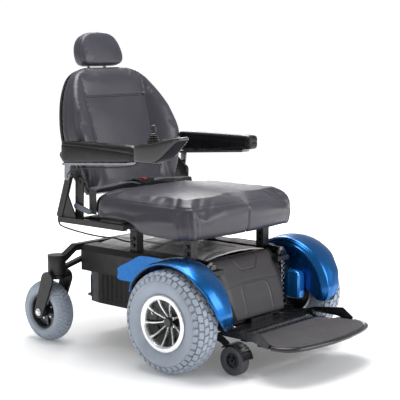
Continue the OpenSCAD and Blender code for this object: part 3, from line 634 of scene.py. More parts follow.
def to_line(p, line):
    """Distance from a point to a line of points."""
    best = 1e9
    for a, b in zip(line, line[1:]):
        ax, ay, bx, by = *a, *b
        dx, dy = bx - ax, by - ay
        t = max(0, min(1, ((p[0] - ax) * dx + (p[1] - ay) * dy) / (dx * dx + dy * dy or 1)))
        best = min(best, math.hypot(p[0] - ax - t * dx, p[1] - ay - t * dy))
    return best


def shroud():
    line = smooth_line(SHROUD_LINE, 8)
    lengths = np.concatenate([[0], np.cumsum([math.dist(a, b) for a, b in zip(line, line[1:])])])
    total = lengths[-1]
    badge = [(-62, 16), (-66, 40), (-44, 74), (-32, 80), (32, 80), (44, 74), (66, 40), (62, 16)]
    frame_line = [(-74, 232), (-74, 158), (-68, 140), (-52, 132), (52, 132), (68, 140),
                  (74, 158), (74, 232)]
    across = np.concatenate([np.linspace(-163, -135, 8)[:-1], np.linspace(-135, 135, 109),
                             np.linspace(135, 163, 8)[1:]])

    def place(q):
        """[y, z] at distance q down the line."""
        return [float(np.interp(q, lengths, [p[k] for p in line])) for k in (0, 1)]

    rings = []
    for q in np.linspace(0, total, 101):
        y, z = place(q)
        ny, nz = direction([place(max(q - 2, 0)), (y, z), place(min(q + 2, total))], 1)
        out, inn = [], []
        for x in across:
            sink = 9 * (max(0.0, abs(x) - 128) / 35) ** 2.2
            in_badge = abs(x) < 64 - max(0, q - 40) * 0.55 and 12 < q < 80
            sink += groove(to_line((x, q), badge), 2.6, 2.6) + (0.8 if in_badge else 0)
            sink -= groove(to_line((x, q), frame_line), 4.5, 1.6)
            sink += groove(abs(q - 118 - 0.0006 * x * x), 5, 0.9)
            cut = -264 + max(0.0, abs(x) - 125) * 40 / 38
            out.append((x, max(y - ny * sink, cut), z - nz * sink))
            inn.append((x * 0.976, max(y - ny * (sink + 4), cut + 4), z - nz * (sink + 4)))
        rings.append(out + inn[::-1])
    shape = Shape().rings(rings)
    side = [(max(y + 3, -222), z - 2) for y, z in smooth_line(SHROUD_LINE, 2)] + [(-143, 146.5)]
    for x in (-162.5, 159.5):
        shape.prism(side, "x", x, x + 3)
    make("shroud_skin", shape, "base", ["shroud"], "front_shroud")


shroud()


def lid_height(x):
    return 362.5 - 14 * (abs(x) / 165) ** 2.2


def top_cover():
    """A low curved lid with soft folds and dark joint lines across it."""
    joints = [[(-165, -128), (-80, -96), (60, -92), (165, -118)],
              [(-165, -62), (-40, -36), (80, -34), (165, -60)],
              [(-165, 20), (-60, 40), (60, 46), (165, 20)],
              [(-165, 120), (0, 152), (165, 120)], [(-165, 236), (0, 262), (165, 236)],
              [(-58, -130), (-66, 40), (-60, 380)], [(62, -130), (74, 60), (60, 380)]]
    joints = [[tuple(p) for p in smooth_line(j, 5)] for j in joints]
    rings = []
    for y in np.linspace(-138, 384, 141):
        top, under = [], []
        for x in np.linspace(-165, 165, 91):
            d = min(to_line((x, y), j) for j in joints)
            puff = 2.6 * min(1.0, d / 16)
            z = lid_height(x) + (-groove(d, 3.0, 2.4) + puff - 2.6)
            top.append((x, y, min(z, 363.5)))
            under.append((x, y, z - 4.5))
        rings.append(top + under[::-1])
    make("top_cover_skin", Shape().rings(rings), "base", ["cover"], "top_cover",
         angle=60)
    lines = Shape()
    for j in joints:
        lines.tube([(max(-163, min(163, x)), y, lid_height(x) - 5.4) for x, y in j], 1.5, 6)
    make("top_cover_joints", lines, "base", ["lip"], "top_cover")


top_cover()


def blue_parts():
    """Corner boxes beside the shroud, and the strips on the side and rear panels."""
    # y of each section of a box, and its sides in x and z
    sections = ((-197, 214, 249, 172, 268), (-204, 212.5, 250, 169, 271.5),
                (-240, 212, 250, 168, 271), (-256, 213, 250, 168, 266), (-262, 219, 248, 172, 252))
    for name, s in SIDES:
        box = Shape().rings([[(x, y, z) for x, z in rounded(x1 - x0, z1 - z0, 9, (x0 + x1) / 2,
                                                            (z0 + z1) / 2)]
                             for y, x0, x1, z0, z1 in sections])
        # the corner boxes take the lighter blue copy, painted light against the shade between wheel
        # and shroud
        make(f"corner_box_{name}", box.on(s), "base", ["blue_painted_light"], "blue_trims",
             bevel=3, segments=3, angle=35)
        trim = Shape()
        trim.prism(smooth_line([(-62, 354), (0, 353.5), (60, 353), (92, 349), (140, 324), (194, 296),
                                (195, 276), (195, 254), (130, 252.5), (70, 252.5), (52, 280),
                                (38, 302), (14, 322), (-14, 340), (-44, 350)], 3, True),
                   "x", 248.2, 251.4)
        trim.box((172, 390.4, 272), (175.8, 394.8, 338))
        trim.box((177, 390.4, 340.5), (241, 394.8, 348.6))
        trim.box((152.2, 429.4, 141), (161, 432.2, 224))
        make(f"blue_trim_{name}", trim.on(s), "base", ["blue"], "blue_trims",
             bevel=1.0, segments=2)


blue_parts()


def springs():
    turns, lo, hi = 8, 155, 303
    for name, s in SIDES:
        coil = Shape()
        coil.tube([(195 + 12 * math.cos(a), -197 + 12 * math.sin(a), lo + (hi - lo) * t)
                   for t, a in ((i / 192, 2 * math.pi * turns * i / 192) for i in range(193))],
                  2.4, 10)
        coil.turned([(0.1, 0), (7, 0), (7, 154), (0.1, 154)], (195, -197, 152.2), 24, 0, "z")
        make(f"spring_{name}", coil.on(s), "base", ["spring"], "suspension_springs")
        # tapered cylinder beside the shroud, with a bright ring
        body = Shape()
        path = [(197, -132 - 74 * t, 344 - 9 * t) for t in (0, 0.5, 0.78, 0.8, 0.86, 0.9, 0.93, 1)]
        radii = (16.5, 17, 17.6, 19.6, 19.6, 19.2, 14.5, 14)
        axis = Vector((0, -74, -9)).normalized()
        up = Vector((1, 0, 0)).cross(axis)
        rings = [[Vector(p) + r * (math.cos(a) * Vector((1, 0, 0)) + math.sin(a) * up)
                  for a in (2 * math.pi * k / 40 for k in range(40))] for p, r in zip(path, radii)]
        body.rings(rings[:4]).rings(rings[3:6], 1).rings(rings[5:])
        body.turned([(0.1, 204), (7, 204), (7, 262), (5.5, 263), (0.1, 263)], (0, -150, 140), 28)
        make(f"spring_housing_{name}", body.on(s), "base", ["case", "alloy"],
             "spring_housings", bevel=0.8)


springs()


# ---------------------------------------------------------------- padded parts
def inset(outline, g):
    """A closed outline moved inward by g."""
    n, out = len(outline), []
    area = sum(outline[i][0] * outline[(i + 1) % n][1] - outline[(i + 1) % n][0] * outline[i][1]
               for i in range(n))
    turn = 1 if area > 0 else -1
    for i in range(n):
        (x0, y0), (x1, y1) = outline[i - 1], outline[(i + 1) % n]
        d = math.hypot(x1 - x0, y1 - y0) or 1
        out.append((outline[i][0] - turn * (y1 - y0) / d * g,
                    outline[i][1] + turn * (x1 - x0) / d * g))
    return out


def settle(obj, kind, **values):
    """Adds a modifier and puts its result in the mesh."""
    mod = obj.modifiers.new(kind, kind)
    for key, value in values.items():
        setattr(mod, key, value)
    done = bpy.data.meshes.new_from_object(obj.evaluated_get(bpy.context.evaluated_depsgraph_get()))
    obj.modifiers.clear()
    obj.data = done


def read_points(mesh, what="co"):
    values = np.zeros(len(mesh.vertices) * 3, np.float32)
    mesh.vertices.foreach_get(what, values)
    return values.reshape(-1, 3).astype(float)


def write_points(mesh, points):
    mesh.vertices.foreach_set("co", points.astype(np.float32).ravel())
    mesh.update()


CLOTH_FRAMES = 20
CLOTH_PRESSURE = 4.0


def stuffed(name, shape, body, mat, node, voxel, cap, held, shape_after, relax=6):
    """A padded piece: remeshed, blown up by cloth between its seams, then its seams sewn in.
    held(points) gives 1 where the cover is sewn or glued down; shape_after(points, normals)
    gives the moved points. voxel and cap, the furthest that a point may move, are in mm too."""
    obj = make(name, shape, body, [mat], node)
    settle(obj, "REMESH", mode="VOXEL", voxel_size=voxel * MM)
    settle(obj, "SMOOTH", factor=0.5, iterations=relax)
    rest = read_points(obj.data)
    pins = obj.vertex_groups.new(name="sewn")
    weight = held(rest / MM)
    pins.add([int(i) for i in np.nonzero(weight >= 1.0)[0]], 1.0, "REPLACE")
    cloth = obj.modifiers.new("cloth", "CLOTH")
    s = cloth.settings
    s.quality, s.mass = 6, 0.3
    s.use_pressure, s.uniform_pressure_force = True, CLOTH_PRESSURE
    s.tension_stiffness = s.compression_stiffness = 25
    s.bending_stiffness = 2.0
    s.effector_weights.gravity = 0
    s.vertex_group_mass = "sewn"
    cloth.collision_settings.use_collision = False
    cloth.point_cache.frame_start, cloth.point_cache.frame_end = 1, CLOTH_FRAMES
    for f in range(1, CLOTH_FRAMES + 1):
        scene.frame_set(f)
    blown = read_points(obj.evaluated_get(bpy.context.evaluated_depsgraph_get()).to_mesh())
    obj.modifiers.clear()
    obj.vertex_groups.clear()
    move = blown - rest
    far = np.linalg.norm(move, axis=1, keepdims=True)
    move *= np.minimum(1.0, cap * MM / np.maximum(far, 1e-9))
    write_points(obj.data, rest + move)
    scene.frame_set(1)
    settle(obj, "SMOOTH", factor=0.5, iterations=3)
    settle(obj, "SUBSURF", levels=1, render_levels=1)
    mesh = obj.data
    write_points(mesh, shape_after(read_points(mesh) / MM, read_points(mesh, "normal")) * MM)
    mesh.shade_smooth()
    mesh.materials.clear()
    mesh.materials.append(M[mat])
    return obj


def near(d, half):
    """1 on a seam, falling to 0 at half its width away."""
    return np.clip(1 - (d / half) ** 2, 0, 1)


def line_distance(p, line):
    """Distance of many 2-D points to a line of points."""
    best = np.full(len(p), 1e9)
    for a, b in zip(line, line[1:]):
        a, b = np.array(a, float), np.array(b, float)
        ab = b - a
        t = np.clip(((p - a) @ ab) / max(ab @ ab, 1e-9), 0, 1)
        best = np.minimum(best, np.linalg.norm(p - a - t[:, None] * ab, axis=1))
    return best


SEAT_PLAN = (arc(227, -117, 76, 0, -62, 8) + [(120, -199), (0, -202), (-120, -199)]
             + arc(-227, -117, 76, 242, 180, 8)
             + [(-303, 40), (-302, 180), (-298, 250), (-285, 272), (-258, 284), (-250, 300),
                (-250, 322), (-200, 328), (0, 328), (200, 328), (250, 322), (250, 300), (258, 284),
                (285, 272), (298, 250), (302, 180), (303, 40)])
SEAM_Z = 541


def seat():
    shape = Shape()
    levels = [(474, 16), (478, 8), (486, 3), (498, 0.5), (512, 0), (524, 2), (534, 6), (543, 13),
              (549, 23), (553, 36), (555.5, 52), (557, 74)]
    shape.rings([[(x, y, z) for x, y in inset(SEAT_PLAN, g)] for z, g in levels])
    # valance along the front and the sides, tapering up at its ends
    right = sorted([p for p in SEAT_PLAN if p[1] < 60 and p[0] > 200], key=lambda p: -p[1])
    line = [(303, 104), (303, 70)] + right + [(120, -199), (0, -202), (-120, -199)]
    line += [(-x, y) for x, y in reversed(right)] + [(-303, 70), (-303, 104)]
    line = [tuple(p) for p in smooth_line(line, 2)]
    rings = []
    for i, (x, y) in enumerate(line):
        nx, ny = direction(line, i)
        low = 430 + 50 * max(0.0, (y - 10) / 94) ** 2
        rings.append([(x + nx * g, y + ny * g, z) for g, z in
                      ((3, 490), (1, 472), (5, low + 16), (12, low + 3), (20, low), (28, low + 6),
                       (30, 472), (30, 490))])
    shape.rings(rings)

    def held(p):
        x, y, z = p.T
        pleat = (np.abs(x) < 4) & (y < -170) & (z < 530)
        return np.where(pleat | (z < 478), 1.0, 0.0)

    def after(p, n):
        x, y, z = p.T
        edge = line_distance(p[:, :2], SEAT_PLAN + SEAT_PLAN[:1])
        push = -0.9 * near(np.abs(z - SEAM_Z), 3.5) * (edge < 40)
        # pleat in the middle of the front
        front = np.clip((-150 - y) / 30, 0, 1)
        push += -5.0 * near(np.abs(x), 7) * front * np.clip((538 - z) / 30, 0, 1)
        # gathers at the front corners
        for s in (-1, 1):
            around = np.degrees(np.arctan2(-(y + 111), s * x - 226))
            corner = np.clip(1 - np.abs(around - 45) / 45, 0, 1)
            corner = corner * np.clip((SEAM_Z - 4 - z) / 20, 0, 1)
            push += corner * 1.6 * np.sin(around * 0.42 + 0.03 * z) * (edge < 30)
        # the top dips a little where one sits, and has slack folds toward the back
        top = np.clip((z - 552) / 8, 0, 1)
        push += -7.0 * top * np.exp(-((x / 170) ** 2 + ((y - 120) / 150) ** 2))
        push += 0.5 * np.sin(0.06 * x + 0.09 * y) * top
        push += -2.2 * top * np.exp(-(((x + 40) / 120) ** 2 + ((y + 110) / 26) ** 2))
        q = p + n * push[:, None]
        q[:, 2] = np.minimum(q[:, 2], 567 - 3.0 * near(np.abs(y - 309), 60))
        return q

    stuffed("seat_cushion_pad", shape, "base", "vinyl", "seat_cushion", 6.5, 12,
            held, after)


BACK_Y, BACK_Z, LEAN = 341, 552, math.radians(17.5)


def back_point(x, s, d):
    """A place on the back: x across, s up its slope, d into it."""
    return (x, BACK_Y + s * math.sin(LEAN) + d * math.cos(LEAN),
            BACK_Z + s * math.cos(LEAN) - d * math.sin(LEAN))


def back_place(p):
    """The reverse of back_point, for many points."""
    y, z = p[:, 1] - BACK_Y, p[:, 2] - BACK_Z
    return p[:, 0], y * math.sin(LEAN) + z * math.cos(LEAN), y * math.cos(LEAN) - z * math.sin(LEAN)


HALF_WIDTHS = [(-6, 226), (6, 229), (60, 242), (120, 252), (180, 266), (215, 268), (270, 260),
               (335, 241), (385, 218), (430, 187), (455, 158), (470, 122), (475, 80)]
BOLSTERS = [(-10, 0), (20, 2), (50, 18), (110, 42), (200, 52), (300, 42), (400, 15), (455, 2),
            (480, 0)]
PANEL_SEAM_S = 355


BACK_EDGE = sorted(tuple(p) for p in smooth_line(HALF_WIDTHS, 5))


def table_at(rows, v):
    return np.interp(v, [r[0] for r in rows], [r[1] for r in rows])


def panel_half(s):
    return np.interp(s, [0, 185, PANEL_SEAM_S, 480], [138, 148, 156, 158])


def rounding(t):
    """How far a quarter circle has dropped at t, from 0 at its start to 1 at its end."""
    return 1 - math.sqrt(max(0.0, 1 - t ** 2))


def back():
    rings = []
    for s in np.concatenate([np.linspace(-5, 440, 58), np.linspace(446, 474.5, 10)]):
        hw = float(table_at(BACK_EDGE, s))
        rise = float(table_at(BOLSTERS, s))
        roll = 20 * rounding(min(1.0, max(0.0, (s - 440) / 35)))
        inner = float(panel_half(s))
        ring = []
        for u in np.linspace(-1, 1, 61):
            x = hw * u
            b = 0.0
            if abs(x) > inner and hw > inner:
                t = (abs(x) - inner) / (hw - inner)
                b = math.sin(min(1.0, t / 0.80) * math.pi / 2) ** 1.5
                b *= 1 - 0.10 * max(0.0, (t - 0.80) / 0.20) ** 2
            roll_edge = 14 * rounding(max(0.0, (abs(x) - (hw - 16)) / 16))
            ring.append(back_point(x, s, 3 - rise * b + roll_edge + roll))
        ring += [back_point(hw * u, s, 50) for u in np.linspace(1, -1, 15)]
        rings.append(ring)

    def seams(x, s):
        """Distances to the seams beside the middle panel and across its top."""
        side = (np.abs(np.abs(x) - panel_half(s)) + np.maximum(0, s - PANEL_SEAM_S) * 4
                + np.maximum(0, 40 - s) * 4)
        across = np.abs(s - PANEL_SEAM_S) + np.maximum(0, np.abs(x) - panel_half(PANEL_SEAM_S)) * 4
        return side, across

    def held(p):
        x, s, d = back_place(p)
        side, across = seams(x, s)
        sewn = ((side < 3.6) | (across < 3.6)) & (d < 30)
        welt = (np.abs(d - 20) < 3.5) & (np.abs(x) > table_at(BACK_EDGE, s) - 8)
        return np.where(sewn | (d > 42) | welt, 1.0, 0.0)

    def after(p, n):
        x, s, d = back_place(p)
        side, across = seams(x, s)
        front = d < 34
        push = -(3.6 * near(side, 4.5) + 5.0 * near(across, 5.0)) * front
        # soft gathers running off the ends of the upper seam
        for e in (-1, 1):
            away = np.hypot(x - e * (156 + 14), s - (PANEL_SEAM_S + 14))
            push += -1.6 * np.exp(-(away / 16) ** 2) * np.sin((x * e - s) * 0.25) * front
        push += -2.0 * near(np.abs(d - 20), 3.5) * (np.abs(x) > table_at(BACK_EDGE, s) - 14)
        return p + n * push[:, None]

    stuffed("back_cushion_pad", Shape().rings(rings), "backrest", "vinyl",
            "back_cushion", 6.0, 9, held, after)


HEAD_S = 483


def headrest():
    outline = both_halves([(60, 1), (88, 3), (103, 13), (110, 38), (106, 70), (93, 100),
                           (71, 121), (42, 130), (14, 132)]) + [(0, 1)]
    outline = [tuple(p) for p in smooth_line(outline, 4, True)]
    shape = Shape().rings([[back_point(x, s + HEAD_S, d) for x, s in inset(outline, g)]
                           for d, g in ((12, 24), (13.5, 13), (17, 6), (23, 2), (30, 0.8),
                                        (46, 0.8), (60, 2), (70, 7), (76, 14), (78.5, 24))])
    seam_d = 31

    def from_seam(p):
        """Distances from the seam's depth and from the outline."""
        x, s, d = back_place(p)
        rim = line_distance(np.stack([x, s - HEAD_S], 1), outline + outline[:1])
        return np.abs(d - seam_d), rim

    def held(p):
        depth, rim = from_seam(p)
        return np.where((depth < 3.2) & (rim < 12), 1.0, 0.0)

    def after(p, n):
        depth, rim = from_seam(p)
        return p + n * (-2.4 * near(depth, 3.6) * (rim < 14))[:, None]

    stuffed("headrest_pad_cover", shape, "headrest", "vinyl", "headrest_pad", 4.5, 5,
            held, after)


def arm_pad(name, s):
    def underside(y):
        return 688 + (664 - 688) * (y - 23) / 370

    top = 741.5
    rings = []
    # y of each section, and how much smaller it is
    for y, less in ((25, 7), (27, 3.5), (32, 1), (45, 0), (200, 0), (375, 0), (384, 1), (389.5, 3),
                    (391.5, 7)):
        low = underside(y)
        rings.append([(x, y, z) for x, z in rounded(57 - 2 * less, top - low - 2 * less, 9, 312,
                                                    (top + low) / 2)])
    seam = [(20, 716), (120, 722), (260, 727), (400, 729)]

    def held(p):
        stapled = p[:, 2] < underside(p[:, 1]) + 5
        return np.where(stapled | (line_distance(p[:, 1:], seam) < 2.6), 1.0, 0.0)

    def after(p, n):
        sides = np.abs(n[:, 2]) < 0.6
        push = -1.5 * near(line_distance(p[:, 1:], seam), 2.6) * sides
        push += -0.9 * near(np.abs(p[:, 1] - 40), 2.4) * sides * (p[:, 2] < 716)
        return p + n * push[:, None]

    stuffed(f"armrest_pad_{name}_cover", Shape().rings(rings).on(s), f"armrest_{name}",
            "arm", f"armrest_pad_{name}", 5.0, 2.5, held, after, relax=3)


seat()
back()
headrest()
for name, s in SIDES:
    arm_pad(name, s)


# ---------------------------------------------------------------- back shell
def back_shell():
    rings = []
    lip_depth = 52.8
    for s in np.concatenate([np.linspace(12, 440, 44), np.linspace(446, 471, 10)]):
        hw = float(table_at(BACK_EDGE, s)) + 1
        roll = 12 * rounding(min(1.0, max(0.0, (s - 430) / 42)))
        sections = []
        for wide, deep in ((0.985, 84), (0.965, 80.5)):
            sections.append([back_point(hw * u * wide, s, deep - 20 * abs(u) ** 6 - roll)
                             for u in np.linspace(-1, 1, 49)])
        corners = [back_point(e * hw * wide, s, lip_depth)
                   for e, wide in ((1, 0.985), (1, 0.965), (-1, 0.965), (-1, 0.985))]
        rings.append(sections[0] + corners[:2] + sections[1][::-1] + corners[2:])
    make("back_shell_skin", Shape().rings(rings), "backrest", ["panel"],
         "back_shell", angle=50)


back_shell()


# ---------------------------------------------------------------- belt
def belt():
    straps = Shape()
    path = [(260.8, 478), (260.8, 520), (260.4, 550), (257, 565), (248, 569.5), (225, 570.5),
            (180, 571.5), (130, 575.5), (92, 577.5), (62, 575), (30, 573)]
    path = [tuple(p) for p in smooth_line(path, 6)]
    # section of the webbing: across it, and out of its face
    webbing = ((-19, 0), (-18, 1.3), (0, 1.6), (18, 1.3), (19, 0), (18, -1.1), (0, -1.3),
               (-18, -1.1))
    for s in (-1, 1):
        rings = []
        for i, (x, z) in enumerate(path):
            nx, nz = direction(path, i)
            t = i / (len(path) - 1)
            sway = 5 * math.sin(5 * t + s) * math.sin(math.pi * t)
            roll = 0.05 * math.sin(9 * t + 2 * s) * math.sin(math.pi * t)
            rings.append([(s * (x + nx * h), 309 + v + sway, z + nz * h + roll * v)
                          for v, h in webbing])
        straps.rings(rings)
    make("belt_straps", straps, "base", ["webbing"], "belt_webbing", angle=40)
    z0 = 569.3
    buckle = Shape()
    # x, y and height above the webbing, from and to; the slot between them is the button's
    for x0, x1, y0, y1, h0, h1 in ((-38, -6.9, 287, 331, 0, 14.5), (14.8, 38, 287, 331, 0, 15.5),
                                   (-8, 16, 287, 298.6, 0, 15), (-8, 16, 319.4, 331, 0, 15),
                                   (-8, 16, 290, 328, 0, 2.4), (-47, -37, 291, 327, 3, 8)):
        buckle.box((x0, y0, z0 + h0), (x1, y1, z0 + h1))
    make("belt_buckle_case", buckle, "base", ["case"], "belt_buckle", bevel=1.6,
         segments=3)
    tag = Shape().box((-112, 299, 577.2), (-84, 322, 578.2))
    make("belt_tag", tag, "base", ["label"], "belt_webbing", bevel=0.3)


belt()


# ---------------------------------------------------------------- controller
STICK = (-312, -40)
DECK, DECK_TILT = Vector((STICK[0], -115, 770)), math.radians(-13)
DECK_UP = Vector((0, -math.sin(DECK_TILT), math.cos(DECK_TILT)))
DECK_ALONG = Vector((0, math.cos(DECK_TILT), math.sin(DECK_TILT)))
ACROSS = Vector((1, 0, 0))


def controller_case():
    """The hollowed case, with wells for the stick, the keys, the dial and the charger's plug."""
    rings = []
    # y, low z, high z and half width of each section
    for y, low, high, half in ((19, 693, 744, 33), (17, 691, 747.5, 36), (8, 690, 750, 37.5),
                               (-8, 690, 754, 38), (-24, 690, 757.6, 38), (-56, 690, 758, 38),
                               (-80, 696.5, 763.5, 37.6), (-105, 711, 769.2, 37),
                               (-130, 733, 774.8, 36), (-150, 751, 779.2, 34),
                               (-165, 764, 782.4, 31), (-174, 771, 783, 26),
                               (-177.5, 776, 781, 19)):
        r = min(9, (high - low) / 2 - 0.3, half - 1)
        rings.append([(x, y, z) for x, z in rounded(2 * half, high - low, r, STICK[0],
                                                    (low + high) / 2, 5)])
    obj = make("controller_shell", Shape().rings(rings), "armrest_right",
               ["case"], "controller_case", angle=50)
    cutters = Shape()
    cutters.turned([(0.1, -14), (17.6, -14), (17.6, 40), (0.1, 40)], (*STICK, 752), 40, 0, "z")
    cutters.turned([(0.1, 0), (8, 0), (8, 20), (0.1, 20)], (STICK[0] + 26, -70, 725), 32)
    for x, y, r, depth in ((-20, 0, 6.05, 12), (20, 0, 6.05, 12), (0, -32, 4.05, 8)):
        base = DECK + ACROSS * x + DECK_ALONG * y
        cutters.rings([[base + DECK_UP * h + r * (math.cos(a) * ACROSS
                                                  + math.sin(a) * DECK_UP.cross(ACROSS))
                        for a in (2 * math.pi * k / 28 for k in range(28))] for h in (-depth, 30)])
    cutter = bpy.data.objects.new("cutter", mesh_of("cut", cutters, weld=False))
    scene.collection.objects.link(cutter)
    settle(obj, "BOOLEAN", operation="DIFFERENCE", solver="EXACT", object=cutter)
    bpy.data.objects.remove(cutter)
    obj.data.materials.clear()
    obj.data.materials.append(M["case"])
    obj.data.set_sharp_from_angle(angle=math.radians(40))
    gauge = Shape()
    for k in range(5):
        c = DECK + Vector(((k - 2) * 9, 15, 0)) + DECK_UP * 2.2
        gauge.rings([[c + ACROSS * x + DECK_ALONG * v + DECK_UP * h
                      for x, v in rounded(6.5, 3.2, 1.2)] for h in (-2, 0.7)])
    make("controller_gauge", gauge, "armrest_right", ["keypad"], "controller_case",
         bevel=0.2)


def joystick():
    # the lower folds are given the span from the armrest to the gimbal ring, the upper ones from the
    # gimbal ring to the stick; both are only baked in place
    foot, waist, neck = [(STICK[0] * MM, STICK[1] * MM, z * MM) for z in (761, 771.6, 785)]
    lower_folds = [(20.5, 0.2), (22, 0.2), (22.2, 3), (17.6, 5.6), (20.4, 9.4), (14.6, 12.8),
                   (11, 12.8), (14, 9), (14, 6), (20, 2)]
    upper_folds = [(14.6, 12.8), (17.4, 16.6), (11.6, 19.8), (14.4, 23.6), (8.6, 27.4), (8, 29.6),
                   (5, 29.6), (5, 27), (8, 23), (8, 20), (11, 16), (11, 12.8)]
    gaiter_foot = (*STICK, 758.8)
    make("joystick_bellows", Shape().turned(lower_folds, gaiter_foot, 56, 0, "z"),
         ("armrest_right", "gimbal", foot, waist), ["gaiter"], "joystick_gaiter",
         angle=70)
    make("joystick_bellows_top", Shape().turned(upper_folds, gaiter_foot, 56, 0, "z"),
         ("gimbal", "stick", waist, neck), ["gaiter"], angle=70)
    knob = [(0.1, 40), (6.5, 38.2), (9.2, 40.5), (10.6, 45), (11, 51), (10.4, 57), (8.6, 62),
            (6.4, 64.4), (3, 65.2), (0.1, 65.4)]
    top = Shape().turned(knob, (*STICK, 752), 48, 0, "z")
    top.turned([(0.1, -8), (6, -8), (6, 4), (3.5, 5), (3.5, 39), (0.1, 39)], (*STICK, 752), 32, 1,
               "z")
    top.turned([(0.1, -16), (1.5, -16), (1.5, 16), (0.1, 16)], (*STICK, 750), 16, 1, "y")
    make("joystick_knob", top, "stick", ["gaiter", "steel"], "joystick", angle=50)


controller_case()
joystick()


# ---------------------------------------------------------------- footplate
CURVE = [(248, -486), (247, -508), (240, -530), (225, -551), (199, -568), (150, -582), (96, -590),
         (48, -596)]
RIB_PITCH = 6
PLATE_HALF = ([(196, -347), (204, -352), (204, -408), (214, -416), (228, -418), (236, -424),
               (236, -478)] + smooth_line(CURVE, 4))
MAT_HALF = ([(188, -366), (194, -420), (220, -432)]
            + smooth_line([(234, -486), (233, -506), (226, -525), (211, -541), (186, -556),
                           (144, -569), (96, -577), (48, -582)], 4))


def footplate():
    plate = Shape()
    levels = ((111, 6), (112, 3), (115, 0.6), (118, 0), (122, 0.8), (124.6, 3), (125.8, 6),
              (125.6, 9), (124, 11))
    plate.rings([[(x, y, z) for x, y in inset(both_halves(PLATE_HALF), g)] for z, g in levels])
    for s in (-1, 1):
        lug = Shape().turned([(4.1, -4), (9, -4), (9, 4), (4.1, 4)], (200, -330, 133), 32)
        lug.prism([(-338, 130), (-333, 125.4), (-349, 112), (-362, 113), (-362, 121)], "x",
                  196.2, 203.8)
        lug.on(s)
        plate.add(lug.points, lug.faces)
    make("footplate_tray", plate, "footplate", ["plate"], "footplate", angle=50)
    mat = Shape()
    mat.rings([[(x, y, z) for x, y in inset(both_halves([tuple(p) for p in MAT_HALF]), g)]
               for z, g in ((124.03, 0.5), (125.2, 0), (125.6, 0.6))])
    # ribs from front to back, each as long as the mat is there
    places = np.linspace(-600, -360, 241)
    halves = sorted((y, x) for x, y in MAT_HALF)
    room = np.interp(places, [y for y, x in halves], [x for y, x in halves], left=0, right=0)
    for x in np.arange(-230.0, 230.1, RIB_PITCH):
        inside = places[(room > abs(x) + 4) & (places > -581)]
        if len(inside) > 4:
            mat.rings([[(x - 1.5, y, 125.5), (x - 0.7, y, 126.5), (x + 0.7, y, 126.5),
                        (x + 1.5, y, 125.5)] for y in (inside[0] + 1, inside[-1] - 1)])
    make("footplate_mat_ribs", mat, "footplate", ["mat"], "footplate_mat", angle=30)


footplate()

# ---------------------------------------------------------------- CAD parts that stay
# node: its material and the width of its bevelled edges, in mm
CAD_LOOKS = {
    "main_frame": ("frame", 1.5), "battery_tray": ("frame", 0), "batteries": ("battery", 1.5),
    "power_module": ("alloy", 0.6), "body_panels": ("panel", 1.2), "gear_motors": ("motor", 2.5),
    "seat_towers": ("frame", 1.5), "seat_frame": ("frame", 1.5), "arm_posts": ("frame", 1.5),
    "buckle_button": ("red", 0.8), "footplate_carrier": ("plate", 1.0), "rear_beam": ("fork", 2.0),
    "joystick_gimbal": ("steel", 0), "power_button": ("green", 0.6), "horn_button": ("keypad", 0.6),
    "speed_dial": ("keypad", 0.5), "back_frame": ("frame", 1.0), "headrest_posts": ("steel", 0),
    "recline_lever": ("lever", 1.0),
}
for name, s in SIDES:
    CAD_LOOKS[f"caster_fork_{name}"] = ("fork", 2.5)
    CAD_LOOKS[f"antitip_arm_{name}"] = ("frame", 1.0)
    CAD_LOOKS[f"armrest_rail_{name}"] = ("rail", 1.0)
    CAD_LOOKS[f"freewheel_lever_{name}"] = ("yellow", 1.0)
for node, (look, bevel) in CAD_LOOKS.items():
    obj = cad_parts[node]
    slots = obj.data.materials
    for i in range(len(slots)):
        slots[i] = M[look]
    if not len(slots):
        slots.append(M[look])
    if bevel:
        weld = obj.modifiers.new("weld", "WELD")
        weld.merge_threshold = 0.00001
        edges = obj.modifiers.new("edges", "BEVEL")
        edges.width, edges.segments = bevel * MM, 2
        edges.limit_method, edges.angle_limit = "ANGLE", math.radians(32)
        edges.harden_normals = True


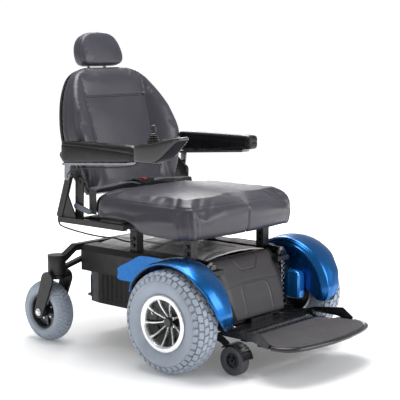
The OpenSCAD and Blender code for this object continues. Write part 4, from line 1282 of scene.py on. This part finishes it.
# ---------------------------------------------------------------- floor, light and picture
def studio_floor(reach=60, z=-0.001):
    """A pale floor that glows a little, least near the chair, so that it is white far away; the
    weaker glow near the chair is painted shade round it.
    """
    pale = finish("floor_glow_painted_shade", (0.90, 0.90, 0.905), 0.75, 0.01, 0.6, 0.03, specular=0.15)
    tree = pale.node_tree
    shader = tree.nodes["Principled BSDF"]
    shader.inputs["Emission Color"].default_value = (1, 1, 1, 1)
    coord = tree.nodes.new("ShaderNodeTexCoord")
    away = tree.nodes.new("ShaderNodeVectorMath")
    away.operation = "LENGTH"
    link(tree, coord, "Object", away, "Vector")
    # emission rises with distance from the chair: painted shade near it, white glow far off
    glow_with_painted_shade = ramp(tree, away, "Value", 0.6, 1.8, 0.12, 0.68)
    link(tree, glow_with_painted_shade, "Result", shader, "Emission Strength")
    mesh = bpy.data.meshes.new("floor")
    corners = ((-1, -1), (1, -1), (1, 1), (-1, 1))
    mesh.from_pydata([(reach * x, reach * y, z) for x, y in corners], [], [(0, 1, 2, 3)])
    mesh.materials.append(pale)
    mesh.shade_smooth()
    obj = bpy.data.objects.new("floor", mesh)
    scene.collection.objects.link(obj)


studio_floor()


def lamp(name, at, to, size, power, colour=(1, 1, 1), size_y=None):
    data = bpy.data.lights.new(name, "AREA")
    data.shape, data.size = "RECTANGLE", size
    data.size_y = size_y or size
    data.energy, data.color = power, colour
    obj = bpy.data.objects.new(name, data)
    scene.collection.objects.link(obj)
    obj.location = at
    obj.rotation_mode = "QUATERNION"
    obj.rotation_quaternion = (Vector(to) - Vector(at)).to_track_quat("-Z", "Y")


lamp("top_soft", (0.3, 0.5, 4.0), (0, 0, 0.3), 2.6, 150)
lamp("front_left", (-3.2, 0.6, 2.4), (0, 0, 0.5), 1.6, 10, (0.97, 0.98, 1.0))
lamp("front_right", (1.5, -3.5, 1.7), (0, -0.1, 0.6), 2.2, 75, (0.97, 0.98, 1.0))
lamp("back_strip", (2.6, 2.4, 2.6), (0, 0, 0.7), 1.0, 40, size_y=2.4)


def studio_world(lighting, backdrop):
    """White all round: as bright as lighting for the chair, and as backdrop where it is seen."""
    world = bpy.data.worlds.new("studio")
    world.use_nodes = True
    tree = world.node_tree
    lit, seen = tree.nodes["Background"], tree.nodes.new("ShaderNodeBackground")
    for shade, strength in ((lit, lighting), (seen, backdrop)):
        shade.inputs["Color"].default_value = (1.0, 1.0, 1.0, 1)
        shade.inputs["Strength"].default_value = strength
    paths, either = tree.nodes.new("ShaderNodeLightPath"), tree.nodes.new("ShaderNodeMixShader")
    tree.links.new(paths.outputs["Is Camera Ray"], either.inputs[0])
    tree.links.new(lit.outputs[0], either.inputs[1])
    tree.links.new(seen.outputs[0], either.inputs[2])
    tree.links.new(either.outputs[0], tree.nodes["World Output"].inputs[0])
    scene.world = world


studio_world(0.42, 1.02)
scene.view_settings.view_transform = "Standard"
